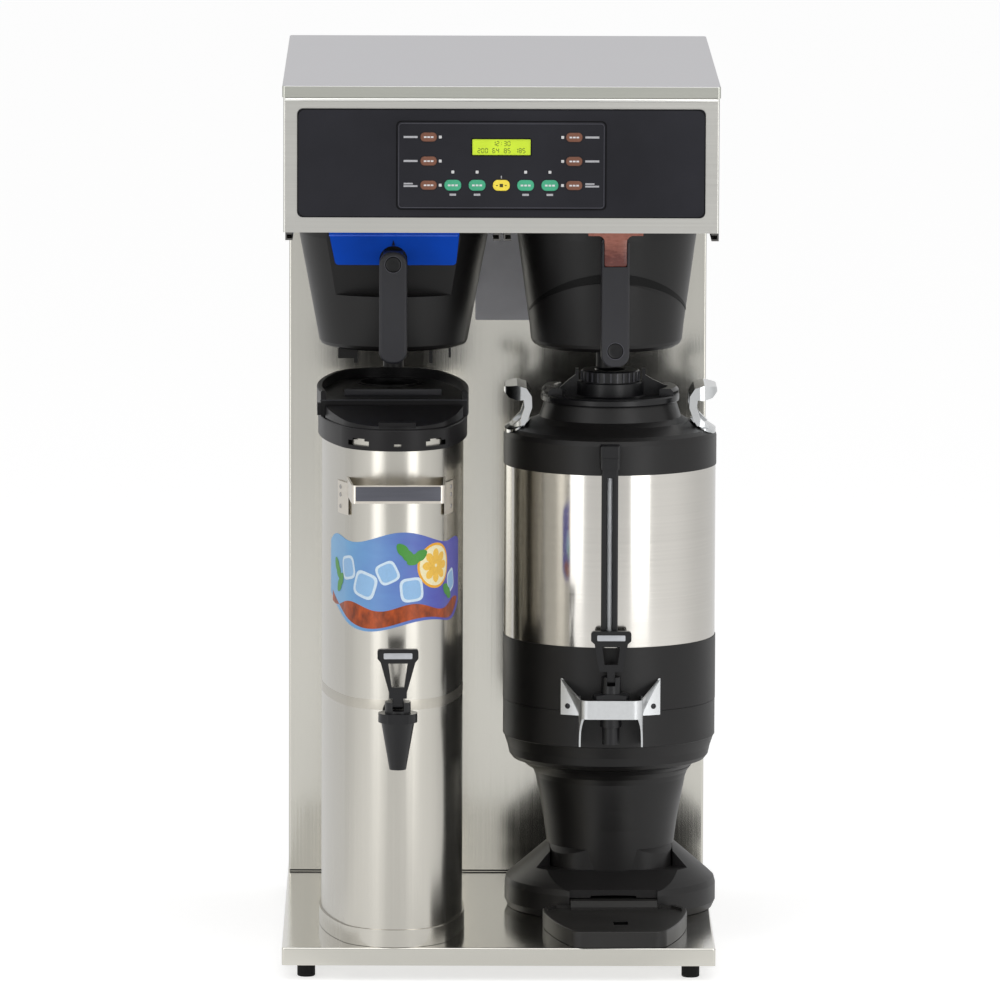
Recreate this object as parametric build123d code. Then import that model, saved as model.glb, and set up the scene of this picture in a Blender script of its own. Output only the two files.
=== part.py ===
from build123d import *
import math
import os

# A twin brewer for iced tea and coffee: a sheet-steel machine with a hood, a column and a
# tray, two slide-in brew cones, an oval tea dispenser and an insulated coffee urn.
# Millimetres. +Z is up, the user stands on the -Y side and faces +Y.
# The origin is on the counter, under the middle of the whole machine.

# ---------------------------------------------------------------- machine: driving sizes
BODY_WIDTH = 457.2
BODY_DEPTH = 594.0
FOOT_HEIGHT = 17.0
TRAY_TOP = 36.0
HOOD_BOTTOM = 793.0
LIP_BOTTOM = 934.5
TOTAL_HEIGHT = 947.0
BAY_DEPTH = 479.0          # clear depth of the tray in front of the column
SHEET = 1.5
LIP_SHEET = 1.2
TAP_REACH = 57.5           # the tea tap stands this far in front of the tray
INLET_REACH = 18.0         # the water fitting stands this far behind the column

FRONT_Y = -(BODY_DEPTH + INLET_REACH - TAP_REACH) / 2
REAR_Y = FRONT_Y + BODY_DEPTH
COLUMN_Y = FRONT_Y + BAY_DEPTH
WRAP_X = BODY_WIDTH / 2 - LIP_SHEET
WRAP_FRONT_Y = FRONT_Y + LIP_SHEET
WRAP_REAR_Y = REAR_Y - LIP_SHEET
WRAP_TOP = TOTAL_HEIGHT - LIP_SHEET - 0.3

FOOT_RADIUS = 9.5
FOOT_X = 203.0
FOOT_INSET = 35.0
STEM_RADIUS = 4.0

# ---------------------------------------------------------------- control panel
PANEL_HALF = 213.0
PANEL_Z = (809.0, 923.0)
PANEL_THICK = 1.6
BEZEL_HALF = 108.5
BEZEL_Z = (818.4, 909.4)
BEZEL_THICK = 3.0
BUTTON_PITCH = 25.3
ROW_Z = (843.4, 868.7, 893.8)
BROWN_SIZE = (17.0, 9.5)
TEA_SIZE = (17.6, 11.3)
BUTTON_DEPTH = 3.0
BUTTON_PROUD = 1.0
BUTTON_CLEARANCE = 0.25
DISPLAY_HALF = 30.5
DISPLAY_Z = (875.0, 891.8)

# ---------------------------------------------------------------- brew cones and rails
TEA_CONE_X = -113.0
COFFEE_CONE_X = 115.0
COFFEE_TURN = 3.05         # degrees that the coffee cone's handle stands to one side
CONE_DEPTH = 272.0         # the cones' axes, behind the front of the tray
CONE_Y = FRONT_Y + CONE_DEPTH
CONE_BOTTOM = 644.5
SPOUT_BOTTOM = 620.0
CONE_WALL = 3.0
FLANGE_Z = (787.0, 790.0)
FLANGE_HALF = 110.0
RAIL_MID = 108.5
RAIL_HALF = 3.8
RAIL_BOTTOM = 784.5
FACET_BOTTOM = 704.3       # the tea cone's front is flat above this height
BAR_FRONT = -137.0
BAR_THICK = 14.0
BAR_HALF = 14.8

# ---------------------------------------------------------------- tea dispenser
TEA_TANK_X = -113.3
TEA_TANK_DEPTH = 162.0     # its axis, behind the front of the tray
TEA_TURN = 1.9             # degrees that it is set down turned on the tray
OVAL_HALF_WIDTH = 75.0
OVAL_HALF_LENGTH = 160.0
OVAL_END_RADIUS = 57.0
TANK_WALL = 1.2
TANK_TOP = 581.3
TANK_FLOOR = 269.0
RING_TOP = 54.6
RIM_Z = (563.0, 585.5)
COVER_TOP = 612.8
COVER_FLOOR = 602.7        # the cover's floor, and the top of its low front
COVER_FRONT = -47.0
FLAP_BOTTOM = 585.8
FLAP_TOP = (597.8, 588.3)  # the flap falls from its hinge to its front
FLAP_PIVOT = (-54.0, 592.0)
PIN_RADIUS = 2.0
PIN_FIT = 0.05
BREW_HOLE = (0.0, 108.0, 32.0)
STRAP_Z = (513.0, 532.0)
STRAP_FRONT = -201.0
STRAP_HALF = 48.5          # half of the strap's front; its legs spread to the tank
TAP_OFFSET = -202.0        # spout axis in front of the tank's axis

# ---------------------------------------------------------------- coffee urn
URN_X = 119.5
URN_DEPTH = 272.0
URN_Y = FRONT_Y + URN_DEPTH
URN_RADIUS = 114.2
FLASK_RADIUS = 113.4
SEAT_RADIUS = 111.7
BAND_Z = (332.5, 516.6)
LOWER_SEAM = 262.8
NECK_TOP = 584.7
NECK_BORE = 58.0
URN_TAP_OFFSET = -131.0
GAUGE_X = -2.0
GUARD_HALF = 34.0
GUARD_FRONT = -147.0
FOOT_TURN = 1.3            # degrees that the pedestal and its drip tray are turned
FOOT_SHIFT = 2.0           # the stem and the foot stand this far to the right of the flask
STEM_LOW = 84.0            # height of the stem's foot in the front notch
MOUTH_HALF = 47.0          # the mouth in the foot, which takes the drip tray's tongue
MOUTH_Y = -99.0

# ---------------------------------------------------------------- water parts in the column
HOT_TANK_HALF = 140.0
HOT_TANK_Y = (COLUMN_Y + 8.0, WRAP_REAR_Y - 12.0)
HOT_TANK_Z = (240.0, 720.0)
HOT_LID_TOP = 722.7
SERVICE_X = 150.0
SERVICE_Z = 90.0
FLARE_RADIUS = 5.55
GLAND_BORE = 5.0


def box(x, y, z):
    """A block between two limits along each axis."""
    size = [limit[1] - limit[0] for limit in (x, y, z)]
    middle = [(limit[0] + limit[1]) / 2 for limit in (x, y, z)]
    return Pos(*middle) * Box(*size)


def drum(radius, z, at=(0.0, 0.0)):
    """An upright cylinder between two heights."""
    return Pos(at[0], at[1], (z[0] + z[1]) / 2) * Cylinder(radius, z[1] - z[0])


def rod_x(radius, x, y, z):
    """A round rod along X."""
    middle = Pos((x[0] + x[1]) / 2, y, z)
    return middle * Rot(0, 90, 0) * Cylinder(radius, x[1] - x[0])


def rod_y(radius, y, x, z):
    """A round rod along Y."""
    middle = Pos(x, (y[0] + y[1]) / 2, z)
    return middle * Rot(90, 0, 0) * Cylinder(radius, y[1] - y[0])


def turned(points):
    """A solid of revolution about Z from (radius, height) corners."""
    outline = Polyline(*[(r, 0, z) for r, z in points], close=True)
    return revolve(make_face(outline), Axis.Z)


def plate_xz(points, y):
    """A flat plate from (x, z) corners, between two values of y."""
    outline = Polyline(*[(x, y[0], z) for x, z in points], close=True)
    return extrude(make_face(outline), amount=y[1] - y[0], dir=(0, 1, 0))


def plate_yz(points, x):
    """A flat plate from (y, z) corners, between two values of x."""
    outline = Polyline(*[(x[0], y, z) for y, z in points], close=True)
    return extrude(make_face(outline), amount=x[1] - x[0], dir=(1, 0, 0))


def upright(face, z):
    """A flat outline in plan, raised between two heights."""
    return Pos(0, 0, z[0]) * extrude(face, amount=z[1] - z[0])


def upright_edges(solid, radius):
    """Round a solid's upright edges."""
    return fillet(solid.edges().filter_by(Axis.Z), radius)


def mirrored(solid):
    """The same piece on both sides of the plane x = 0."""
    return solid + mirror(solid, about=Plane.YZ)


# ---------------------------------------------------------------- frame and panels
def base_tray():
    """A shallow pan, open below, with corner plates that take the feet."""
    pan = box((-BODY_WIDTH / 2, BODY_WIDTH / 2), (FRONT_Y, REAR_Y), (FOOT_HEIGHT, TRAY_TOP))
    pan = upright_edges(pan, 3.0)
    pan = fillet(pan.faces().sort_by(Axis.Z)[-1].edges(), 2.0)
    inner_x = BODY_WIDTH / 2 - SHEET
    inner_y = (FRONT_Y + SHEET, REAR_Y - SHEET)
    pan -= box((-inner_x, inner_x), inner_y, (FOOT_HEIGHT - 1, TRAY_TOP - SHEET))
    plate = 62.0
    for y in ((inner_y[0] - 0.5, inner_y[0] + plate), (inner_y[1] - plate, inner_y[1] + 0.5)):
        corner = box((inner_x - plate, inner_x + 0.5), y, (FOOT_HEIGHT, FOOT_HEIGHT + 2))
        pan += mirrored(corner)
    for x, y in foot_places():
        pan -= drum(STEM_RADIUS + 0.2, (FOOT_HEIGHT - 1, FOOT_HEIGHT + 3), (x, y))
    return pan


def foot_places():
    """The four feet, set in from the tray's corners."""
    rows = (FRONT_Y + FOOT_INSET, REAR_Y - FOOT_INSET)
    return [(side * FOOT_X, y) for side in (-1, 1) for y in rows]


def feet():
    """Four rubber feet, each with its threaded stem."""
    foot = chamfer(drum(FOOT_RADIUS, (0, FOOT_HEIGHT)).edges().sort_by(Axis.Z)[0], 1.0)
    foot += drum(STEM_RADIUS, (FOOT_HEIGHT - 1, FOOT_HEIGHT + 12))
    return Compound([Pos(x, y, 0) * foot.solid() for x, y in foot_places()])


def back_panel():
    """The column's front and sides, folded from one sheet, with a butt seam in the middle."""
    z = (TRAY_TOP, HOOD_BOTTOM)
    y = (COLUMN_Y, WRAP_REAR_Y - SHEET)
    panel = box((-WRAP_X, WRAP_X), y, z)
    panel = fillet(panel.edges().filter_by(Axis.Z).group_by(Axis.Y)[0], 2.0)
    inner = WRAP_X - SHEET
    panel -= box((-inner, inner), (y[0] + SHEET, y[1] + 1), (z[0] - 1, z[1] + 1))
    seam_x = -3.5
    panel -= box((seam_x - 0.5, seam_x + 0.5), (COLUMN_Y - 1, COLUMN_Y + 0.6), (z[0] - 1, z[1] + 1))
    return panel - box((-WRAP_X - 1, WRAP_X + 1), (COLUMN_Y - 1, COLUMN_Y + 1.0), (z[0] - 1, z[0] + 1.3))


def rear_cover():
    """The flat service cover at the back, with vent slots and two service holes."""
    y = (WRAP_REAR_Y - SHEET, WRAP_REAR_Y)
    cover = box((-WRAP_X, WRAP_X), y, (TRAY_TOP, WRAP_TOP))
    cover = fillet(cover.edges().filter_by(Axis.Z).group_by(Axis.Y)[-1], 1.2)
    cut = (y[0] - 1, y[1] + 1)
    for side in (-1, 1):
        for row in range(5):
            z = 840 + 14 * row
            slot = box((side * 110 - 45, side * 110 + 45), cut, (z, z + 4))
            cover -= slot
    cover -= rod_y(8.4, cut, SERVICE_X, SERVICE_Z)
    cover -= rod_y(9.4, cut, -SERVICE_X, SERVICE_Z)
    return cover


def hood_shell():
    """The hood's front and sides, folded from one sheet, with a window behind the keypad."""
    y = (WRAP_FRONT_Y, WRAP_REAR_Y - SHEET)
    hood = box((-WRAP_X, WRAP_X), y, (HOOD_BOTTOM, WRAP_TOP))
    hood = fillet(hood.edges().filter_by(Axis.Z).group_by(Axis.Y)[0], 2.0)
    inner = WRAP_X - SHEET
    hood -= box((-inner, inner), (y[0] + SHEET, y[1] + 1), (HOOD_BOTTOM - 1, WRAP_TOP + 1))
    window = box((-96, 96), (y[0] - 1, y[0] + SHEET + 1), (832, 900))
    return hood - window


def top_cover():
    """The lid of the hood: a flat sheet with a lip turned down all round."""
    half = BODY_WIDTH / 2
    cover = box((-half, half), (FRONT_Y, REAR_Y), (LIP_BOTTOM, TOTAL_HEIGHT))
    cover = upright_edges(cover, 3.0)
    cover = fillet(cover.faces().sort_by(Axis.Z)[-1].edges(), 1.5)
    inner = half - LIP_SHEET + 0.1
    y = (FRONT_Y + LIP_SHEET - 0.1, REAR_Y - LIP_SHEET + 0.1)
    hollow = upright_edges(box((-inner, inner), y, (LIP_BOTTOM - 1, TOTAL_HEIGHT - LIP_SHEET)), 1.0)
    return cover - hollow


def hood_floor():
    """The hood's underside, with a round hole over each brew cone."""
    inner = WRAP_X - SHEET - 0.1
    y = (WRAP_FRONT_Y + SHEET + 0.1, COLUMN_Y + SHEET)
    floor = box((-inner, inner), y, (HOOD_BOTTOM + 0.05, HOOD_BOTTOM + SHEET))
    for x in (TEA_CONE_X, COFFEE_CONE_X):
        floor -= drum(46.0, (HOOD_BOTTOM - 1, HOOD_BOTTOM + 3), (x, CONE_Y))
    return floor


# ---------------------------------------------------------------- control panel
def control_panel():
    """The dark overlay plate on the hood's front."""
    y = (WRAP_FRONT_Y - PANEL_THICK, WRAP_FRONT_Y)
    panel = box((-PANEL_HALF, PANEL_HALF), y, PANEL_Z)
    return fillet(panel.edges().filter_by(Axis.Y), 6.0)


def panel_face():
    """The y of the overlay's face, on which the keypad stands."""
    return WRAP_FRONT_Y - PANEL_THICK


def lozenge(size, y, grow=0.0):
    """A round-ended key shape in the plane of the panel, thick from y[0] to y[1]."""
    width, height = size[0] + 2 * grow, size[1] + 2 * grow
    key = box((-width / 2, width / 2), y, (-height / 2, height / 2))
    return fillet(key.edges().filter_by(Axis.Y), height * 0.46)


def button_places():
    """Each button's name, its size, and its place on the keypad."""
    places = []
    for side, name in ((-1, "left"), (1, "right")):
        for row, z in enumerate(reversed(ROW_Z)):
            places.append((f"{name}_button_{row + 1}", BROWN_SIZE, side * 3 * BUTTON_PITCH, z))
    for number, step in enumerate((-2, -1, 1, 2)):
        places.append((f"tea_button_{number + 1}", TEA_SIZE, step * BUTTON_PITCH, ROW_Z[0]))
    places.append(("select_button", TEA_SIZE, 0.0, ROW_Z[0]))
    return places


def keypad_bezel():
    """The raised keypad with a well for each button and for the display."""
    face = panel_face()
    bezel = box((-BEZEL_HALF, BEZEL_HALF), (face - BEZEL_THICK, face), BEZEL_Z)
    bezel = fillet(bezel.edges().filter_by(Axis.Y), 6.0)
    bezel = chamfer(bezel.faces().sort_by(Axis.Y)[0].edges(), 1.8)
    cut = (face - BEZEL_THICK - 1, face + 1)
    for _, size, x, z in button_places():
        bezel -= Pos(x, 0, z) * lozenge(size, cut, BUTTON_CLEARANCE)
    bezel -= box((-DISPLAY_HALF, DISPLAY_HALF), cut, DISPLAY_Z)
    return bezel


def button(size):
    """One key, with a softened face."""
    back = panel_face() - BEZEL_THICK - BUTTON_PROUD + BUTTON_DEPTH
    key = lozenge(size, (back - BUTTON_DEPTH, back))
    return chamfer(key.faces().sort_by(Axis.Y)[0].edges(), 0.5)


def display_window():
    """The display's window, just below the keypad's face."""
    face = panel_face()
    x = (-DISPLAY_HALF + 0.1, DISPLAY_HALF - 0.1)
    z = (DISPLAY_Z[0] + 0.1, DISPLAY_Z[1] - 0.1)
    return box(x, (face - BEZEL_THICK + 0.6, face - 0.05), z)


# ---------------------------------------------------------------- cone rails and spray heads
def cone_rails():
    """Four channels under the hood, in which the cones' flanges slide."""
    y = (FRONT_Y + 4.5, FRONT_Y + 400)
    rails = []
    for cone_x in (TEA_CONE_X, COFFEE_CONE_X):
        for side in (-1, 1):
            inside = side * (RAIL_MID - RAIL_HALF)
            web = side * (RAIL_MID + RAIL_HALF - 1.6)
            outside = side * (RAIL_MID + RAIL_HALF)
            x = sorted((cone_x + inside, cone_x + outside))
            rail = box(x, y, (RAIL_BOTTOM, HOOD_BOTTOM))
            slot = sorted((cone_x + inside - side, cone_x + web))
            gap = 0.7
            rail -= box(slot, (y[0] - 1, y[1] + 1), (FLANGE_Z[0] - gap, FLANGE_Z[1] + gap))
            rails.append(rail.solid())
    return Compound(rails)


def spray_heads():
    """Two spray heads that hang in the hood floor's holes."""
    top = HOOD_BOTTOM + SHEET
    head = turned(
        [
            (0, 791.6), (38, 791.6), (45, top), (52, top), (52, top + 2),
            (16, top + 8), (9, top + 8), (9, top + 22), (4.5, top + 22), (4.5, top + 6), (0, top + 6),
        ]
    )
    for place in PolarLocations(24, 6):
        head -= place * drum(1.8, (790, 800))
    return Compound([Pos(x, CONE_Y, 0) * head.solid() for x in (TEA_CONE_X, COFFEE_CONE_X)])


# ---------------------------------------------------------------- brew cones
TEA_CONE_SIDE = [(79.3, 650), (89.4, FACET_BOTTOM), (101, 765), (101, FLANGE_Z[1])]
COFFEE_CONE_SIDE = [(80.2, 650), (89.6, 718), (96, 765), (98, FLANGE_Z[1])]


def cone_body(side):
    """A solid brew cone about its own axis: a tapered cup with a spout below."""
    foot = side[0][0]
    skirt = [(11, CONE_BOTTOM), (foot - 7, CONE_BOTTOM), (foot - 2, CONE_BOTTOM + 2)]
    return turned([(0, SPOUT_BOTTOM), (11, SPOUT_BOTTOM)] + skirt + side + [(0, side[-1][1])])


def cone_flange():
    """The rim, with a straight wing each side that slides in a rail."""
    wings = box((-FLANGE_HALF, FLANGE_HALF), (-60, 90), FLANGE_Z)
    return drum(102, FLANGE_Z) + wings


def cone_hollow(side):
    """The space inside a cone, above a floor that slopes to the spout's bore."""
    inner = [(r - CONE_WALL, z) for r, z in side]
    floor = [(0, CONE_BOTTOM + 4), (8, CONE_BOTTOM + 4), (inner[0][0] - 6, CONE_BOTTOM + 8)]
    wall = [(inner[0][0], CONE_BOTTOM + 14)] + inner[1:-1]
    top = FLANGE_Z[1] + 1
    return turned(floor + wall + [(inner[-1][0], top), (0, top)])


def spout_bore():
    return drum(7.5, (SPOUT_BOTTOM - 1, CONE_BOTTOM + 8))


def facet(inset):
    """The space in front of the tea cone's flat upper front."""
    top = FLANGE_Z[0] - 0.5
    foot_y = -65 + inset
    corners = [(-160, FACET_BOTTOM), (foot_y, FACET_BOTTOM), (foot_y - 9, top), (-160, top)]
    return plate_yz(corners, (-120, 120))


def tea_cone_body():
    return cone_body(TEA_CONE_SIDE) - facet(0)


def coffee_cone_body():
    foot = [(0, CONE_BOTTOM), (74, CONE_BOTTOM), (79.5, 648.5), (81, 652)]
    bulge = turned(foot + [(87.6, 722), (87.6, 732), (0, 732)])
    below = plate_yz([(-110, 731), (0, 664), (0, 640), (-110, 640)], (-100, 100))
    bulge = (Pos(0, -4, 0) * bulge) & below
    return cone_body(COFFEE_CONE_SIDE) + bulge


def tea_cone_feet():
    """The bracket and the ribs under the tea cone, on which it stands when it is lifted out."""
    top = CONE_BOTTOM + 0.5
    feet = box((-59, -38), (-38, -35), (633, top)) + box((-42, -38), (-38, -22), (628, top))
    feet += box((38, 42), (-38, -22), (628, top)) + box((59, 61.5), (-30, -22), (633, top))
    return feet + box((-42, -38), (28, 44), (628, top)) + box((38, 42), (28, 44), (628, top))


def tea_cone():
    """The tea cone: round, with a flat upper front that carries the insert."""
    ledge = box((-120, 120), (-160, -62), (FACET_BOTTOM - CONE_WALL, FACET_BOTTOM + 1))
    hollow = cone_hollow(TEA_CONE_SIDE) - facet(CONE_WALL) - ledge
    cone = tea_cone_body() + cone_flange() + tea_cone_feet()
    return cone - hollow - spout_bore()


def coffee_cone():
    """The coffee cone: its lower front bulges, and meets the taper in an arched ledge."""
    return coffee_cone_body() + cone_flange() - cone_hollow(COFFEE_CONE_SIDE) - spout_bore()


def tea_cone_insert():
    """The coloured shield on the tea cone's flat front, notched for the handle's arm."""
    z = (737.0, FLANGE_Z[0] - 1.5)
    slope = 9.0 / (FLANGE_Z[0] - 0.5 - FACET_BOTTOM)

    def front(height):
        return -65.3 - slope * (height - FACET_BOTTOM)

    shield = plate_xz([(-61.5, z[0]), (66.5, z[0]), (71.4, z[1]), (-71.4, z[1])], (-100, -40))
    shield = fillet(shield.edges().filter_by(Axis.Y).group_by(Axis.Z)[0], 4.0)
    sheet = [
        (front(z[0]), z[0]), (front(z[0]) - 3, z[0]),
        (front(z[1]) - 3, z[1]), (front(z[1]), z[1]),
    ]
    shield &= plate_yz(sheet, (-100, 100))
    notch = box((-15, 15), (-100, -40), (z[0] - 1, 742.5)) + rod_y(15, (-100, -40), 0, 742.5)
    return shield - notch


def cone_handle(bar_z, arms, disc_z, top_round):
    """A stand-off handle bar on two arms, with a round screw cap let into its front."""
    y = (BAR_FRONT, BAR_FRONT + BAR_THICK)
    bar = box((-BAR_HALF, BAR_HALF), y, bar_z)
    bar = fillet(bar.edges().filter_by(Axis.Y).group_by(Axis.Z)[0], BAR_HALF - 2.0)
    bar = fillet(bar.edges().filter_by(Axis.Y).group_by(Axis.Z)[-1], top_round)
    bar = fillet(bar.faces().sort_by(Axis.Y)[0].edges(), min(3.0, top_round - 0.5))
    for half, z, reach in arms:
        bar += box((-half, half), (y[1] - 2, reach), z)
    return bar - rod_y(8.5, (y[0] - 1, y[0] + 1.2), 0, disc_z)


def tea_cone_handle():
    arms = [(10.5, (736.5, 753), -60), (9, (656, 672), -70)]
    return cone_handle((638.7, 757.5), arms, 744.5, BAR_HALF - 2.0) - tea_cone_body()


def coffee_cone_handle():
    """The coffee cone's handle, whose squared top is let in for the clip."""
    arms = [(10.5, (714, 732), -80), (9, (652, 668), -80)]
    handle = cone_handle((635.8, 772), arms, 653, 2.5)
    seat = box((-12.3, 12.3), (BAR_FRONT - 1, BAR_FRONT + 3.75), (742.4, 773))
    seat += box((-20, 20), (BAR_FRONT - 1, BAR_FRONT + 1.55), (768, 773))
    turned_back = Rot(0, 0, -COFFEE_TURN) * coffee_cone_body()
    return handle - seat - turned_back


def coffee_cone_clip():
    """The coloured clip over the handle's top, with a wide tongue back to the cone's rim."""
    y = (BAR_FRONT + 0.2, BAR_FRONT + 3.7)
    plate = box((-12.1, 12.1), y, (742.6, 774))
    plate = fillet(plate.edges().filter_by(Axis.Y).group_by(Axis.Z)[0], 2.5)
    half = [(13, 768.5), (17, 771), (27, 775.5), (29, 779)]
    flare = plate_xz(half + [(-x, z) for x, z in reversed(half)], (y[0] - 0.2, y[0] + 1.3))
    return plate + flare + box((-29, 29), (y[0] + 1, -99), (775.5, 779))


def wire_basket(top_r, low_r):
    """The basket that holds the leaf or grounds: two rings, eight staves and a cross of flat wire."""
    top_z, low_z, wire = 757.0, 671.0, 1.3
    basket = None
    for radius, z in ((top_r, top_z), (low_r, low_z)):
        inner, outer = radius - wire, radius + wire
        ring = turned([(inner, z - 2), (outer, z - 2), (outer, z + 2), (inner, z + 2)])
        basket = ring if basket is None else basket + ring
    stave = plate_xz(
        [(low_r - 1, low_z), (low_r + 1, low_z), (top_r + 1, top_z), (top_r - 1, top_z)], (-wire, wire)
    )
    for step in range(8):
        basket += Rot(0, 0, 22.5 + 45 * step) * stave
    bar = box((-low_r, low_r), (-wire, wire), (low_z - 1.5, low_z + 1.5))
    return basket + bar + Rot(0, 0, 90) * bar


# ---------------------------------------------------------------- tea dispenser, about its axis
def tank_oval(grow=0.0):
    """The tank's plan, a four-centred oval of tangent arcs, grown by a parallel offset."""
    width = OVAL_HALF_WIDTH + grow
    length = OVAL_HALF_LENGTH + grow
    end = OVAL_END_RADIUS + grow
    middle = length - end
    flank = (width**2 + middle**2 - end**2) / (2 * (width - end))
    join_x = end * (flank - width) / (flank - end)
    join_y = middle * flank / (flank - end)
    arcs = [
        ThreePointArc((-join_x, join_y), (0, length), (join_x, join_y)),
        ThreePointArc((join_x, join_y), (width, 0), (join_x, -join_y)),
        ThreePointArc((join_x, -join_y), (0, -length), (-join_x, -join_y)),
        ThreePointArc((-join_x, -join_y), (-width, 0), (-join_x, join_y)),
    ]
    return make_face(arcs)


def tea_tank():
    """The oval steel tank: an open reservoir over a hollow skirt."""
    tank = upright(tank_oval(), (38.2, TANK_TOP))
    tank -= upright(tank_oval(-TANK_WALL), (TANK_FLOOR, TANK_TOP + 1))
    tank -= upright(tank_oval(-TANK_WALL), (37, TANK_FLOOR - TANK_WALL))
    return tank - rod_y(9.3, (-170, -140), 0, 288)


def tea_tank_base_ring():
    """The foot ring, with a lip turned in under the tank."""
    ring = upright(tank_oval(2.4), (36.3, RING_TOP))
    ring -= upright(tank_oval(0.15), (38.0, RING_TOP + 1))
    return ring - upright(tank_oval(-9), (35, 39))


def tea_tank_rim():
    """The moulded rim: a skirt outside the tank and a ledge over its edge."""
    rim = upright(tank_oval(4.0), RIM_Z)
    rim = fillet(rim.edges().group_by(Axis.Z)[-1], 2.0)
    rim -= upright(tank_oval(0.3), (RIM_Z[0] - 1, TANK_TOP + 0.1))
    rim -= upright(tank_oval(-9), (RIM_Z[0], RIM_Z[1] + 1))
    for x in ((-50.6, -29.6), (30.4, 51.4)):
        middle = (x[0] + x[1]) / 2
        rim -= box(x, (-175, -110), (567.2, 572.5))
        rim -= box((middle - 6, middle + 6), (-175, -110), (571, 575))
    return rim - box((-3.5, 4.5), (-175, -140), (567.5, 570.5))


def tea_tank_handle():
    """The strap handle: a bent strip whose legs spread to two upright pads on the tank."""
    foot_half, foot_y, sheet = 52.5, -112.0, 2.0

    def bend(inset, reach):
        """The block inside the strip's outer side, moved in by an inset."""
        corners = [
            (inset - foot_half, foot_y + reach), (inset - STRAP_HALF, STRAP_FRONT + inset),
            (STRAP_HALF - inset, STRAP_FRONT + inset), (foot_half - inset, foot_y + reach),
        ]
        plan = make_face(Polyline(*corners, close=True))
        block = upright(plan, (STRAP_Z[0] - reach, STRAP_Z[1] + reach))
        return fillet(block.edges().filter_by(Axis.Z).group_by(Axis.Y)[0], 5.0 - inset)

    strap = (bend(0, 0) - bend(sheet, 1)) - upright(tank_oval(0.2), (STRAP_Z[0] - 1, STRAP_Z[1] + 1))
    skin = upright(tank_oval(2.2), (492, 526)) - upright(tank_oval(0.2), (491, 527))
    return strap + (skin & mirrored(box((50.3, 60.5), (-140, -80), (492, 526))))


def tap_body(profile, slot, pivot_z, slot_floor, shank, bore_top):
    """A tap about its spout's axis: barrel, side-cut flange, shank, and a slotted bonnet."""
    body = turned(profile)
    radius, shank_z, reach, flat = shank
    body &= box((-40, 40), (-flat, flat), (200, 400))
    body += rod_y(radius, (0, reach), 0, shank_z)
    body -= drum(5.5, (220, bore_top))
    body -= box((-slot, slot), (-40, 40), (slot_floor, 400))
    return body + rod_x(PIN_RADIUS, (-slot - 2, slot + 2), 0, pivot_z)


def tap_lever(outline, window, tongue, pivot_z, neck_z):
    """A paddle with a window, on a tongue that turns on the bonnet's pin."""
    paddle = plate_xz(outline, (-3.5, 3.5)) - plate_xz(window, (-5, 5))
    paddle = fillet(paddle.edges().filter_by(Axis.Y).sort_by(Axis.Z)[-2:], 3.0)
    paddle += box((-tongue, tongue), (-3.5, 3.5), (pivot_z, neck_z + 1))
    paddle += rod_x(4.0, (-tongue, tongue), 0, pivot_z)
    return paddle - rod_x(PIN_RADIUS + PIN_FIT, (-tongue - 1, tongue + 1), 0, pivot_z)


TEA_TAP_PIVOT = 300.0
URN_TAP_PIVOT = 299.3


def tea_tap_body():
    profile = [
        (0, 232.8), (8.75, 232.8), (17.5, 283.2), (20.5, 283.2), (20.5, 292.8),
        (13.5, 292.8), (13.5, 304.5), (0, 304.5),
    ]
    body = tap_body(profile, 6.0, TEA_TAP_PIVOT, 295.6, (9.0, 288.0, 55.0, 17.5), 280)
    nut = rod_y(15.0, (33.5, 39.7), 0, 288.0)
    return Pos(0, TAP_OFFSET, 0) * (body + nut)


def tea_tap_lever():
    outline = [
        (-21.4, 360), (21.4, 360), (21.4, 350), (18.2, 346), (9.3, 314), (9.3, 308),
        (-9.3, 308), (-9.3, 314), (-18.2, 346), (-21.4, 350),
    ]
    window = [(-10.2, 345), (10.2, 345), (6.5, 319.5), (-6.5, 319.5)]
    return Pos(0, TAP_OFFSET, 0) * tap_lever(outline, window, 5.7, TEA_TAP_PIVOT, 308)


def tea_lid_cover():
    """The fixed rear half of the lid: a dish walled on three sides, with the brewing hole and two lugs."""
    low = RIM_Z[1] + 0.1
    behind = box((-100, 100), (COVER_FRONT, 200), (low - 1, COVER_TOP + 1))
    shell = upright(tank_oval(5.4), (low, COVER_TOP)) & behind
    shell = fillet(shell.faces().sort_by(Axis.Z)[-1].edges(), 1.6)
    shell -= upright(tank_oval(0.0), (COVER_FLOOR, COVER_TOP + 1))
    under = upright(tank_oval(3.0), (low - 1, COVER_FLOOR - 2.7))
    shell -= under & box((-100, 100), (COVER_FRONT + 2.4, 200), (low - 2, COVER_FLOOR))
    x, y, radius = BREW_HOLE
    shell += drum(radius + 4, (COVER_FLOOR - 1, COVER_FLOOR + 1.2), (x, y))
    shell -= drum(radius, (low, COVER_FLOOR + 3), (x, y))
    shell += box((-51.5, 51.5), (-8, -2), (COVER_FLOOR - 1, COVER_FLOOR + 7))
    pivot_y, pivot_z = FLAP_PIVOT
    lug = rod_x(3.2, (40.0, 46.6), pivot_y, pivot_z)
    lug += box((40.0, 46.6), (pivot_y, COVER_FRONT + 1), (pivot_z - 3.2, pivot_z - 0.4))
    lug -= rod_x(PIN_RADIUS + PIN_FIT, (39, 48), pivot_y, pivot_z)
    tab = box((-81.2, -77.2), (COVER_FRONT - 3, COVER_FRONT + 6), (587.4, 600))
    return shell + mirrored(lug) + tab


def flap_block(grow, low, rear, top, front):
    """A wedge on the rim's plan, in front of the hinge, whose top falls from the rear to the front."""
    side = [(front[0], low), (rear, low), (rear, top), front]
    return upright(tank_oval(grow), (570, 610)) & plate_yz(side, (-100, 100))


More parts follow.
